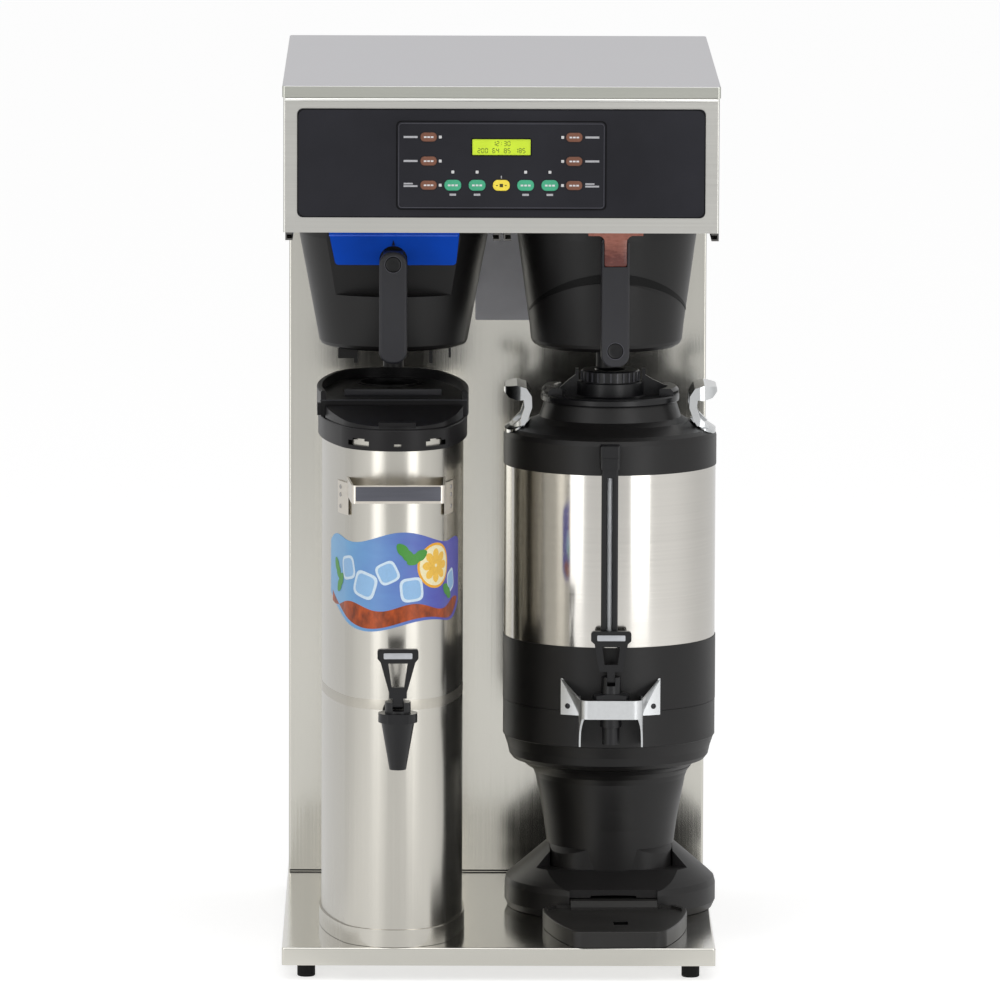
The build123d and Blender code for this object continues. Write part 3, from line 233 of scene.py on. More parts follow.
def repeated(shape, places):
    """The same shape at several places: its arrays repeated and moved as whole arrays."""
    vertices, quads, triangles = shape
    places = np.asarray(places, float).reshape(-1, 3)
    step = np.arange(len(places))[:, None, None] * len(vertices)
    return (
        (vertices[None] + places[:, None]).reshape(-1, 3),
        (quads[None] + step).reshape(-1, 4),
        (triangles[None] + step).reshape(-1, 3),
    )


def gathered(*shapes):
    """Several shapes in one set of arrays."""
    starts = np.cumsum([0] + [len(s[0]) for s in shapes])
    vertices = np.concatenate([s[0] for s in shapes])
    quads = np.concatenate([s[1] + start for s, start in zip(shapes, starts)])
    triangles = np.concatenate([s[2] + start for s, start in zip(shapes, starts)])
    return vertices, quads, triangles


def moved(shape, *step):
    return shape[0] + step, *shape[1:]


def spun(shape, angle, place):
    """A shape made about Z, turned about Z by an angle and moved to a place."""
    turn = np.array(Matrix.Rotation(angle, 3, "Z"))
    return shape[0] @ turn.T + place, *shape[1:]


def aimed(shape, direction, place=(0.0, 0.0, 0.0)):
    """A shape made about Z, turned so that Z points along a direction, and moved to a place."""
    turn = np.array(Vector((0, 0, 1)).rotation_difference(Vector(direction)).to_matrix())
    return shape[0] @ turn.T + np.asarray(place, float), *shape[1:]


def rounded_outline(width, height, radius, points=32):
    """Outline of a rectangle with round corners.

    Each corner is a quarter circle about its own centre, and the points of all four
    quarters, taken in turn, run anticlockwise.
    """
    radius = min(radius, width / 2 - 1e-6, height / 2 - 1e-6)
    quarter = points // 4
    side = np.arange(quarter * 4) // quarter
    angle = side * (math.pi / 2) + np.tile(np.linspace(0, math.pi / 2, quarter), 4)
    cx = np.where((side == 0) | (side == 3), width / 2 - radius, radius - width / 2)
    cz = np.where(side < 2, height / 2 - radius, radius - height / 2)
    return np.stack([cx + radius * np.cos(angle), cz + radius * np.sin(angle)], 1)


def front_plate(width, height, radius, thick, edge, y=0.0, points=32):
    """A rounded plate that faces the front.

    Its outline is carried along a quarter round: it shrinks by edge times (1 - cos a) as the
    face comes forward by edge times sin a, and the flat face closes on its middle.
    """
    outline = rounded_outline(width, height, radius, points)
    reach = np.linspace(0, math.pi / 2, 4)[1:]
    forward = np.concatenate([[0.0, thick - edge], thick - edge + edge * np.sin(reach)])
    inset = np.concatenate([[0.0, 0.0], edge * (1 - np.cos(reach))])
    flat = outline[None] * (1 - inset[:, None, None] / np.abs(outline).max(0))
    depth = np.broadcast_to(y - forward[:, None], flat.shape[:2])
    return capped(np.stack([flat[..., 0], depth, flat[..., 1]], 2))


def frame_on(node, inset, radius, band, proud, y):
    """A raised frame that faces the front, round a node's box or set in from it.

    Its section has four corners: the outer and the inner rounded outline, each at the
    face y and again in front of it.
    """
    low, high = (np.array([corner.x, corner.z]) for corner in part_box(node))
    low, high = low + inset, high - inset
    middle, size = (low + high) / 2, high - low
    inner = rounded_outline(*size, radius, 96) + middle
    outer = rounded_outline(*(size + 2 * band), radius + band, 96) + middle
    corners = [(outer, y), (outer, y - proud), (inner, y - proud), (inner, y)]
    return hoop(np.stack([np.stack([o[:, 0], np.full(len(o), d), o[:, 1]], 1) for o, d in corners]))


def bars(rows, y, thick=0.00012):
    """Small flat bars that face the front, from rows of (x, z, width, height) in metres."""
    rows = np.asarray(rows, float)
    corner = np.array([[-0.5, -0.5], [0.5, -0.5], [0.5, 0.5], [-0.5, 0.5]])
    flat = rows[:, None, :2] + corner * rows[:, None, 2:]
    front = np.stack([flat[..., 0], np.full(flat.shape[:2], y - thick), flat[..., 1]], 2)
    vertices = np.concatenate([front, front + (0, thick, 0)], 1).reshape(-1, 3)
    face = [[0, 1, 2, 3], [7, 6, 5, 4], [0, 4, 5, 1], [1, 5, 6, 2], [2, 6, 7, 3], [3, 7, 4, 0]]
    quads = (np.array(face)[None] + 8 * np.arange(len(rows))[:, None, None]).reshape(-1, 4)
    return vertices, quads, NO_TRIANGLES


def rod_along_x(half, radius, place, ends, points=16):
    """A round rod along X about a place, whose ends draw in over a length as quarter rounds."""
    draw = ends * (1 - np.sin(np.linspace(0, math.pi / 2, 5)))
    step = np.sort(np.concatenate([-half + draw, half - draw[::-1]]))
    lead = np.minimum(half - np.abs(step), ends) / ends
    width = radius * np.sqrt(np.maximum(1 - (1 - lead) ** 2, 0.01))
    angle = np.linspace(0, 2 * math.pi, points, endpoint=False)
    y = place[1] + width[:, None] * np.cos(angle)
    z = place[2] + width[:, None] * np.sin(angle)
    return capped(np.stack([np.broadcast_to(place[0] + step[:, None], y.shape), y, z], 2))


def turned(profile, points=20):
    """Closed surface of revolution about Z from (radius, height) corners, low end first."""
    profile = np.asarray(profile, float)
    angle = np.linspace(0, 2 * math.pi, points, endpoint=False)
    x, y = profile[:, :1] * np.cos(angle), profile[:, :1] * np.sin(angle)
    return capped(np.stack([x, y, np.broadcast_to(profile[:, 1:], x.shape)], 2))


def domed(radius, height, steps, *middle):
    """A low round head: a quarter ellipse turned about Z, then the corners of its middle."""
    angle = np.linspace(0, math.pi / 2, steps)
    head = np.stack([radius * np.cos(angle), height * np.sin(angle)], 1)[:-1]
    return turned(np.concatenate([[(radius, -0.0002)], head, middle]))


def add_piece(name, shape, material, body):
    """Put a shape into a mesh, smooth it up to the crease angle, and let it ride on its body."""
    vertices, quads, triangles = shape
    mesh = bpy.data.meshes.new(name)
    mesh.from_pydata(vertices.tolist(), [], quads.tolist() + triangles.tolist())
    mesh.validate()
    mesh.shade_smooth()
    mesh.set_sharp_from_angle(angle=math.radians(35.0))
    mesh.materials.append(material)
    piece = bpy.data.objects.new(name, mesh)
    bpy.context.scene.collection.objects.link(piece)
    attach(piece, body)
    return piece


def middle_of(node):
    """The x and z of the middle of a node's box."""
    low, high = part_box(node)
    return (low.x + high.x) / 2, (low.z + high.z) / 2


# ---------------------------------------------------------------- shader nodes
class Nodes:
    """A node tree under construction."""

    def __init__(self, tree):
        self.tree = tree

    def node(self, kind, **values):
        """Add a node, with values for its sockets or its own settings."""
        made = self.tree.nodes.new("ShaderNode" + kind)
        for key, value in values.items():
            if key in made.inputs:
                made.inputs[key].default_value = value
            else:
                setattr(made, key, value)
        return made

    def feed(self, socket, value):
        """Link a socket to another node's output, or give it a constant."""
        if isinstance(value, bpy.types.NodeSocket):
            self.tree.links.new(value, socket)
        else:
            socket.default_value = value

    def math(self, operation, *values):
        made = self.node("Math", operation=operation)
        for socket, value in zip(made.inputs, values):
            self.feed(socket, value)
        return made.outputs["Value"]

    def ranged(self, value, low, high, source=(0.3, 0.7), **more):
        """A value moved from its source range to the range from low to high."""
        made = self.node("MapRange", **more)
        names = ("Value", "From Min", "From Max", "To Min", "To Max")
        for name, number in zip(names, (value, *source, low, high)):
            self.feed(made.inputs[name], number)
        return made.outputs["Result"]

    def mixed(self, share, first, second):
        """Mix of two colours, each a constant or another node's output."""
        made = self.node("Mix", data_type="RGBA")
        self.feed(made.inputs["Factor"], share)
        for name, value in (("A", first), ("B", second)):
            socket = [s for s in made.inputs if s.name == name and s.type == "RGBA"][0]
            self.feed(socket, value if isinstance(value, bpy.types.NodeSocket) else (*value, 1))
        return [s for s in made.outputs if s.type == "RGBA"][0]

    def parts(self, vector):
        """The x, y and z of a vector."""
        made = self.node("SeparateXYZ")
        self.feed(made.inputs["Vector"], vector)
        return made.outputs


class Shader(Nodes):
    """A material under construction, with a principled surface."""

    def __init__(self, name, base, roughness, metallic=0.0, specular=0.5):
        self.material = bpy.data.materials.new(name)
        self.material.use_nodes = True
        super().__init__(self.material.node_tree)
        self.surface = self.tree.nodes["Principled BSDF"].inputs
        self.coordinates = self.node("TexCoord").outputs["Object"]
        self.base = tuple(base)
        self.roughness = roughness
        self.set({"Base Color": (*base, 1.0), "Roughness": roughness})
        self.set({"Metallic": metallic, "Specular IOR Level": specular})

    def set(self, values):
        """Constants or other nodes' outputs for the surface's sockets."""
        for name, value in values.items():
            self.feed(self.surface[name], value)

    def place(self, stretch=(1, 1, 1)):
        """Object coordinates, stretched."""
        mapping = self.node("Mapping", Scale=stretch)
        self.feed(mapping.inputs["Vector"], self.coordinates)
        return mapping.outputs["Vector"]

    def normal(self):
        return self.parts(self.node("NewGeometry").outputs["Normal"])

    def noise(self, scale, stretch=(1, 1, 1), detail=3.0, roughness=0.55):
        made = self.node("TexNoise", Scale=scale, Detail=detail, Roughness=roughness)
        self.feed(made.inputs["Vector"], self.place(stretch))
        return made.outputs["Fac"]

    def tinted(self, value, dark, light, pale=None):
        """The base colour between two brightness factors, by a value from 0.3 to 0.7.

        A pale colour may stand for the light end.
        """
        shades = [[min(c * level, 1.0) for c in self.base] for level in (dark, light)]
        shade = self.mixed(self.ranged(value, 0, 1), shades[0], pale or shades[1])
        self.set({"Base Color": shade})

    def rough(self, value, spread):
        """Roughness that strays by a spread to each side."""
        low, high = max(self.roughness - spread, 0.02), self.roughness + spread
        self.set({"Roughness": self.ranged(value, low, high)})

    def bump(self, value, height, strength=1.0):
        made = self.node("Bump", Strength=strength, Distance=height)
        self.feed(made.inputs["Height"], value)
        self.set({"Normal": made.outputs["Normal"]})


def sheet_steel(name, base, roughness, grain=(2, 900, 900), side_grain=(900, 2, 900), side=None):
    """Brushed sheet: fine lines along the sheet and soft clouds in tone.

    The lines are noise stretched a few hundred times along the brushing. Faces that look
    sideways take lines that run front to back, chosen by the square of the normal's x.
    Where a side colour is given, faces that don't look up take it, by the normal's z: this is
    painted light, the upward faces' tone standing for the light they catch from above.
    """
    made = Shader(name, base, roughness, metallic=1.0)
    x = made.normal()["X"]
    lines = made.node("Mix", data_type="FLOAT")
    sideways = made.ranged(made.math("MULTIPLY", x, x), 0, 1, (0.35, 0.65))
    made.feed(lines.inputs["Factor"], sideways)
    for socket, stretch in (("A", grain), ("B", side_grain)):
        made.feed(lines.inputs[socket], made.noise(1.0, stretch, 4.0, 0.7))
    lines = lines.outputs["Result"]
    clouds = made.ranged(made.noise(5.0, detail=2.0), 0.1, 0.2)
    both = made.math("MULTIPLY_ADD", lines, 0.7, clouds)
    made.tinted(both, 0.94, 1.05)
    made.rough(both, 0.05)
    made.bump(lines, 0.00002, 0.5)
    # Painted light: faces that look up keep the lighter tone, and the others take the side colour.
    if side is not None:
        upwards = made.ranged(made.normal()["Z"], 0, 1, (0.4, 0.6))
        top = made.surface["Base Color"].links[0].from_socket
        made.set({"Base Color": made.mixed(upwards, side, top)})
    return made.material


def drawn_steel(name, base, roughness, grain=(700, 700, 3)):
    """Polished steel with very fine drawn lines, faint clouds and a trace of wipe marks."""
    made = Shader(name, base, roughness, metallic=1.0)
    lines = made.noise(1.0, grain, 3.0, 0.6)
    wipe = made.ranged(made.noise(14.0, (1, 1, 0.35), 4.0, 0.6), 0.12, 0.28)
    both = made.math("MULTIPLY_ADD", lines, 0.6, wipe)
    made.tinted(both, 0.95, 1.04)
    made.rough(both, 0.035)
    made.bump(lines, 0.00001, 0.35)
    return made.material


def fine_steel(name, base, roughness):
    """Drawn steel for small fittings, with a grain that has no direction."""
    return drawn_steel(name, base, roughness, (300, 300, 300))


def moulded(name, base, roughness=0.42, specular=0.35, texture=2600.0, height=0.00003):
    """Moulded plastic: a fine spark-eroded grain, and soft clouds in tone and gloss."""
    made = Shader(name, base, roughness, specular=specular)
    clouds = made.noise(9.0, detail=4.0)
    made.tinted(clouds, 0.82, 1.18)
    made.rough(clouds, 0.06)
    made.bump(made.noise(texture, detail=2.0, roughness=0.6), height, 0.6)
    return made.material


def printed(name, base):
    """Screen-printed ink: slightly uneven tone over a fine mesh."""
    made = Shader(name, base, 0.4, specular=0.4)
    made.tinted(made.noise(900.0, detail=2.0), 0.9, 1.05)
    made.bump(made.noise(2500.0, detail=1.0), 0.00001, 0.4)
    return made.material


def assign(material, *names):
    """Give a material to solids of the frame, in every slot of theirs."""
    for name in names:
        slots = NODES[name].data.materials
        if not len(slots):
            slots.append(material)
        for number in range(len(slots)):
            slots[number] = material


# ---------------------------------------------------------------- finishes
SIDE_KEYS = [(side, f"{side}_button_{n}") for side in ("left", "right") for n in (1, 2, 3)]
TEA_KEYS = [f"tea_button_{n}" for n in (1, 2, 3, 4)]


class BREWER_OT_steel(bpy.types.Operator):
    """Brush the machine's sheets and polish the vessels"""

    bl_idname = "brewer.steel"
    bl_label = "Steel finishes"

    def execute(self, context):
        s = settings("brewer_steel")
        sheet = sheet_steel("sheet_steel", s.sheet, s.sheet_roughness)
        assign(sheet, "hood_shell", "hood_floor", "rear_cover")
        # The top cover and the tray each take two tones by the faces' direction: painted light from
        # above.
        assign(sheet_steel("top_steel", s.top, s.sheet_roughness, side=s.lip), "top_cover")
        assign(sheet_steel("tray_steel", s.tray, s.column_roughness, side=s.column), "base_tray")
        upright = (900, 900, 2)
        column = sheet_steel("column_steel", s.column, s.column_roughness, upright, upright)
        assign(column, "back_panel")
        assign(sheet_steel("rail_steel", linear(96, 95, 93), 0.4), "cone_rails")
        tank = drawn_steel("tank_steel", s.tank, s.tank_roughness)
        assign(tank, "tea_tank", "tea_tank_base_ring")
        assign(fine_steel("handle_steel", linear(214, 208, 198), 0.32), "tea_tank_handle")
        flask = drawn_steel("flask_steel", s.flask, s.flask_roughness, (3, 3, 700))
        assign(flask, "urn_flask")
        assign(fine_steel("satin_fittings", s.fittings, 0.36), "tap_guard")
        assign(fine_steel("polished_fittings", s.fittings, 0.14), "carry_handles")
        wire = drawn_steel("bright_wire", linear(190, 190, 190), 0.22, (400, 400, 400))
        assign(wire, "tea_wire_basket", "coffee_wire_basket")
        return {"FINISHED"}


class BREWER_OT_plastics(bpy.types.Operator):
    """Give the moulded pieces their tones and grain"""

    bl_idname = "brewer.plastics"
    bl_label = "Plastic finishes"

    def execute(self, context):
        s = settings("brewer_plastics")
        rim = tuple(1.7 * c for c in s.lid)
        rubber = (linear(26, 26, 26), 0.75, 0.2, 1200.0, 0.0001)
        for name, look, nodes in (
            ("cone_plastic", (s.cone, 0.38, 0.3), "tea_cone coffee_cone"),
            ("cone_handle_plastic", (s.handle, 0.5), "tea_cone_handle coffee_cone_handle"),
            ("lid_plastic", (s.lid, 0.36, 0.22), "tea_lid_cover tea_lid_flap"),
            ("rim_plastic", (rim, 0.4, 0.22), "tea_tank_rim"),
            ("urn_plastic", (s.urn, 0.4, 0.32), "urn_shoulder urn_lower_shell urn_pedestal"),
            ("tray_plastic", (s.tray, 0.34, 0.32), "drip_tray"),
            ("urn_lid_plastic", (s.tap, 0.28), "urn_lid"),
            ("gauge_plastic", (s.tap, 0.34), "gauge_guard"),
            ("tap_plastic", (s.tap, 0.32), "tea_tap_body tea_tap_lever urn_tap_body urn_tap_lever"),
            ("shield_plastic", (s.shield, 0.5, 0.12), "tea_cone_insert"),
            ("foot_rubber", rubber, "feet"),
        ):
            assign(moulded(name, *look), *nodes.split())
        glass = Shader("sight_tube", (0.8, 0.82, 0.84), 0.06)
        glass.set({"Transmission Weight": 0.55, "IOR": 1.49})
        glass.tinted(glass.noise(60.0, (1, 1, 0.2)), 0.92, 1.04)
        assign(glass.material, "gauge_tube")
        return {"FINISHED"}


class BREWER_OT_panel(bpy.types.Operator):
    """Finish the overlay, the keypad, the display and the keys"""

    bl_idname = "brewer.panel"
    bl_label = "Panel finishes"

    def execute(self, context):
        s = settings("brewer_panel")
        overlay = moulded("panel_overlay", s.overlay, 0.46, 0.14, 1800.0, 0.00002)
        assign(overlay, "control_panel", "keypad_bezel")
        lit = Shader("display_window", s.lit, 0.25)
        lit.set({"Emission Color": (*s.lit, 1.0), "Emission Strength": 0.12})
        lit.tinted(lit.noise(45.0, detail=1.0), 0.9, 1.04)
        assign(lit.material, "display_window")
        for name, colour, nodes in (
            ("brown_key", s.brown, [node for _, node in SIDE_KEYS]),
            ("green_key", s.green, TEA_KEYS),
            ("yellow_key", s.yellow, ["select_button"]),
        ):
            assign(moulded(name, colour, 0.44, 0.4, 1500.0), *nodes)
        return {"FINISHED"}


class BREWER_OT_inner_parts(bpy.types.Operator):
    """Finish the water parts and the electrics inside"""

    bl_idname = "brewer.inner_parts"
    bl_label = "Inner finishes"

    def execute(self, context):
        assign(sheet_steel("boiler_steel", linear(176, 174, 170), 0.45), "water_tank", "tank_lid")
        sheath = drawn_steel("heater_sheath", linear(140, 140, 142), 0.4)
        assign(sheath, "heating_elements", "tank_probes")
        assign(drawn_steel("brass", linear(196, 164, 98), 0.32), "inlet_fitting")
        assign(moulded("silicone_tube", linear(206, 205, 200), 0.6), "water_tubes")
        valve = moulded("valve_plastic", linear(34, 34, 36), 0.5)
        assign(valve, "solenoid_valves", "cord_gland", "spray_heads")
        assign(moulded("board_mask", linear(40, 104, 58), 0.35), "control_board")
        return {"FINISHED"}


# ---------------------------------------------------------------- panel details
PANEL_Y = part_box("control_panel")[0].y
BEZEL_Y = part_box("keypad_bezel")[0].y

SEGMENTS = {
    "0": "abcdef", "1": "bc", "2": "abdeg", "3": "abcdg", "4": "bcfg",
    "5": "acdfg", "6": "acdefg", "7": "abc", "8": "abcdefg", "9": "abcdfg",
}
SEGMENT_BARS = {
    "a": (0, 1, 1, 0), "b": (0.5, 0.5, 0, 1), "c": (0.5, -0.5, 0, 1), "d": (0, -1, 1, 0),
    "e": (-0.5, -0.5, 0, 1), "f": (-0.5, 0.5, 0, 1), "g": (0, 0, 1, 0),
}


def digit_bars(text, x, z, height, stroke):
    """Rows of bars for plain numbers: each figure is the lit bars of a seven-bar digit."""
    rows = []
    width = height * 0.52
    step = width + 2.4 * stroke
    start = x - step * (len(text) - 1) / 2
    for place, figure in enumerate(text):
        middle = start + place * step
        for bar in SEGMENTS.get(figure, ""):
            bx, bz, wide, tall = SEGMENT_BARS[bar]
            rows.append((
                middle + bx * width, z + bz * height / 2,
                wide * (width - stroke) + (stroke if not wide else 0),
                tall * (height / 2 - stroke) + (stroke if not tall else 0),
            ))
        if figure == ":":
            rows += [(middle, z + dot * height * 0.22, stroke, stroke) for dot in (1, -1)]
    return rows


class BREWER_OT_panel_seams(bpy.types.Operator):
    """Draw the seams round the overlay, the keypad and the display as painted shadow lines, and a
    painted highlight along the bezel's edge
    """

    bl_idname = "brewer.panel_seams"
    bl_label = "Panel seams"

    def execute(self, context):
        # Painted shadow: near-black bands where the keypad, the display and the overlay's edge
        # meet.
        dark = moulded("seam_shadow", linear(9, 9, 11), 0.5, 0.1)
        keypad = frame_on("keypad_bezel", 0.0, 0.004, 0.0011, 0.00025, PANEL_Y)
        display = frame_on("display_window", 0.0, 0.0006, 0.0011, 0.0002, BEZEL_Y)
        add_piece("panel_seam_shadows", gathered(keypad, display), dark, "machine")
        edge = frame_on("control_panel", 0.0011, 0.0075, 0.0011, 0.0002, PANEL_Y)
        add_piece("overlay_edge_shadow", edge, dark, "machine")
        # Painted highlight: a paler band along the bezel's raised edge.
        sheen = frame_on("keypad_bezel", 0.0018, 0.003, 0.0006, 0.0002, BEZEL_Y)
        pale = moulded("bezel_edge_highlight", linear(74, 74, 82), 0.4, 0.3)
        add_piece("bezel_edge_highlight", sheen, pale, "machine")
        return {"FINISHED"}


class BREWER_OT_display_digits(bpy.types.Operator):
    """Show plain numbers on the display"""

    bl_idname = "brewer.display_digits"
    bl_label = "Display digits"

    def execute(self, context):
        s = settings("brewer_panel")
        middle = middle_of("display_window")[1]
        line, stroke = 0.0037, 0.00062
        rows = digit_bars("12:30", 0.0, middle + line, s.digit_height, stroke)
        for number, x in (("200", -0.0195), ("64", -0.0060), ("85", 0.0060), ("185", 0.0195)):
            rows += digit_bars(number, x, middle - line, s.digit_height, stroke)
        shape = bars(rows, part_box("display_window")[0].y, 0.00008)
        add_piece("display_digits", shape, printed("display_ink", s.digit), "machine")
        return {"FINISHED"}


class BREWER_OT_lamps(bpy.types.Operator):
    """Set a small lamp window beside or above each key"""

    bl_idname = "brewer.lamps"
    bl_label = "Lamp windows"

    def execute(self, context):
        s = settings("brewer_panel")
        beside, above = 0.0036, 0.0082
        places = []
        for side, node in SIDE_KEYS:
            low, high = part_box(node)
            x = high.x + beside if side == "left" else low.x - beside
            places.append((x, BEZEL_Y, middle_of(node)[1]))
        for node in TEA_KEYS:
            places.append((middle_of(node)[0], BEZEL_Y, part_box(node)[1].z + above))
        window = front_plate(s.lamp_size, s.lamp_size, 0.0005, 0.0003, 0.00015, points=16)
        lamp = moulded("lamp_window", s.lamp, 0.3, 0.5)
        add_piece("lamp_windows", repeated(window, places), lamp, "machine")
        return {"FINISHED"}


class BREWER_OT_key_marks(bpy.types.Operator):
    """Print plain bars on the keys and on the keypad beside them"""

    bl_idname = "brewer.key_marks"
    bl_label = "Key marks"

    def execute(self, context):
        ink = printed("white_ink", settings("brewer_panel").mark)
        dark = printed("dark_ink", linear(60, 54, 20))
        beside = []

        def mark(node, material, *rows):
            """Bars on a key, from rows of (x, z, width, height) about the key's middle."""
            x, z = middle_of(node)
            rows = [(x + across, z + up, *size) for across, up, *size in rows]
            shape = bars(rows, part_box(node)[0].y)
            add_piece(f"{node}_mark", shape, material, f"{node}_body")
            return x, z

        for side, node in SIDE_KEYS:
            low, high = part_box(node)
            x, z = mark(node, ink, *[(step * 0.0036, 0.0, 0.0027, 0.0017) for step in (-1, 0, 1)])
            edge = low.x - 0.0103 if side == "left" else high.x + 0.0103
            if node.endswith("3"):
                beside.append((edge - 0.0024, z + 0.0016, 0.0095, 0.0016))
                beside.append((edge, z - 0.0010, 0.0145, 0.0018))
            else:
                beside.append((edge, z, 0.0145, 0.0021))
        for node in TEA_KEYS:
            x, z = mark(node, ink, *[(step * 0.0038, 0.0, 0.0028, 0.0019) for step in (-1, 0, 1)])
            beside.append((x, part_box(node)[0].z - 0.0042, 0.0068, 0.0022))
        dots = [(step, 0.0, 0.002, 0.0009) for step in (-0.0046, 0.0046)]
        x, z = mark("select_button", dark, (0.0, 0.0, 0.0035, 0.0035), *dots)
        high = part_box("select_button")[1]
        beside.append((x, high.z + 0.003, 0.0009, 0.0028))
        grey = printed("grey_ink", linear(172, 172, 176))
        add_piece("keypad_marks", bars(beside, BEZEL_Y), grey, "machine")
        return {"FINISHED"}


# ---------------------------------------------------------------- cone details
TEA_CONE_PLACE = (-0.113, -0.00525, 0.0)
COFFEE_CONE_PLACE = (0.115, -0.00525, 0.0)
COFFEE_TURN = math.radians(3.05)
BAR_FRONT = -0.137
SHIELD_SLOPE = 0.113


def on_coffee_cone(shape):
    """A shape about the coffee cone's own axis, turned with its handle and moved to the cone."""
    return spun(shape, COFFEE_TURN, COFFEE_CONE_PLACE)


def strip(corners, x):
    """A closed bar along X from the (y, z) corners of its section. A z may change along x."""
    rings = [np.stack([x, np.full(len(x), y), z + np.zeros(len(x))], 1) for y, z in corners]
    return capped(np.stack(rings, 1))


class BREWER_OT_screw_caps(bpy.types.Operator):
    """Press the round screw caps into the cones' handles, each ringed by a painted highlight"""

    bl_idname = "brewer.screw_caps"
    bl_label = "Screw caps"

    def execute(self, context):
        s = settings("brewer_plastics")
        dark = moulded("cap_plastic", s.cap, 0.34, 0.3)
        # Painted highlight: the pale ring stands for the light on the handle's rounded edge round
        # each cap.
        pale = moulded("cap_ring_highlight", tuple(4.0 * c for c in s.handle), 0.32, 0.4)
        cap = [(8.3, -1.0), (8.3, -0.5), (7.4, 0.1), (6.0, -0.3), (3.0, -0.1), (0.3, 0.0)]
        cap = turned(np.array(cap) * MM, points=40)
        angle = np.linspace(0, 2 * math.pi, 48, endpoint=False)
        section = np.array([(9.3, -0.2), (9.1, 0.22), (8.7, 0.22), (8.5, -0.2)]) * MM
        x, y = section[:, :1] * np.cos(angle), section[:, :1] * np.sin(angle)
        ring = hoop(np.stack([x, y, np.broadcast_to(section[:, 1:], x.shape)], 2))
        for cone, height in (("tea", 0.7445), ("coffee", 0.653)):
            body = f"{cone}_cone_body"
            for part, shape, material in (("cap", cap, dark), ("cap_ring_highlight", ring, pale)):
                shape = aimed(shape, (0, -1, 0), (0, BAR_FRONT, height))
                if cone == "coffee":
                    shape = on_coffee_cone(shape)
                else:
                    shape = moved(shape, *TEA_CONE_PLACE)
                add_piece(f"{cone}_handle_{part}", shape, material, body)
        return {"FINISHED"}


class BREWER_OT_shield_marks(bpy.types.Operator):
    """Add the ridge along the shield's top, in a paler plastic as a painted highlight, and the
    pointer above the tea cone's handle
    """

    bl_idname = "brewer.shield_marks"
    bl_label = "Shield ridge and pointer"

    def execute(self, context):
        colour = settings("brewer_plastics").shield
        # Painted highlight: the ridge is a paler copy of the shield's plastic.
        pale = moulded("shield_ridge_highlight", tuple(min(c * 1.5 + 0.06, 1.0) for c in colour), 0.35, 0.3)
        low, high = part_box("tea_cone_insert")
        height = 0.7690
        face = low.y + (high.z - height) * SHIELD_SLOPE
        middle = middle_of("tea_cone_insert")[0]
        ridge = rod_along_x(0.0685, 0.0011, (middle, face, height), 0.001)
        add_piece("shield_ridge_highlight", ridge, pale, "tea_cone_body")
        corner = np.array([[-0.0016, 0.7582], [0.0016, 0.7582], [0.0, 0.7638]])
        face = low.y + (high.z - corner[:, 1]) * SHIELD_SLOPE
        x = TEA_CONE_PLACE[0] + corner[:, 0]
        rings = [np.stack([x, face + lift, corner[:, 1]], 1) for lift in (0.0005, -0.0012)]
        dark = moulded("pointer", linear(24, 26, 34), 0.5, 0.2)
        add_piece("shield_pointer", capped(np.stack(rings)), dark, "tea_cone_body")
        return {"FINISHED"}


class BREWER_OT_clip(bpy.types.Operator):
    """Mould the clip over the top of the coffee cone's handle

    The plate's front bows forward as a shallow arc of its height. The flare is a strip whose
    lower edge rises from the plate's side as one minus an exponential of the distance from it.
    Towards the top the plastic turns pale pink, a painted highlight.
    """

    bl_idname = "brewer.clip"
    bl_label = "Coffee cone clip"

    def execute(self, context):
        half, low, high, reach, rear = 0.0121, 0.7426, 0.7790, 0.029, -0.0992
        back, front = BAR_FRONT + 0.0037, BAR_FRONT + 0.0002
        plate = front_plate(2 * half, high - low, 0.0026, back - front, 0.0009, back, 48)
        points = plate[0]
        share = (points[:, 2] / ((high - low) / 2)) ** 2
        points[:, 1] += np.where(points[:, 1] < front + 0.0012, 0.0008 * share, 0.0)
        plate = moved(plate, 0.0, 0.0, (high + low) / 2)
        x = np.linspace(-reach, reach, 61)
        away = np.maximum(np.abs(x) - half, 0.0)
        under = 0.7712 + 0.0052 * (1 - np.exp(-away / 0.0028))
        inner, floor = back - 0.001, 0.7755
        flare = strip([(front, under), (inner, under), (inner, high), (front, high)], x)
        start = front + 0.001
        level = [(start, floor), (rear, floor), (rear, high), (start, high)]
        tongue = strip(level, np.array([-reach, reach]))
        made = Shader("clip_plastic_and_highlight", settings("brewer_plastics").clip, 0.24, specular=0.6)
        # Painted highlight: the plastic pales towards the top of the plate, by height.
        height = made.ranged(made.parts(made.place())["Z"], 0.02, 0.42, (0.752, 0.770))
        lift = made.math("MULTIPLY_ADD", made.noise(160.0, (1, 1, 2.5)), 0.5, height)
        made.tinted(lift, 0.8, 1.0, linear(180, 110, 92))
        made.bump(made.noise(1800.0, detail=2.0), 0.00002, 0.5)
        shape = on_coffee_cone(gathered(plate, flare, tongue))
        piece = add_piece("coffee_clip", shape, made.material, "coffee_cone_body")
        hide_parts("coffee_cone_clip")
        return {"FINISHED"}


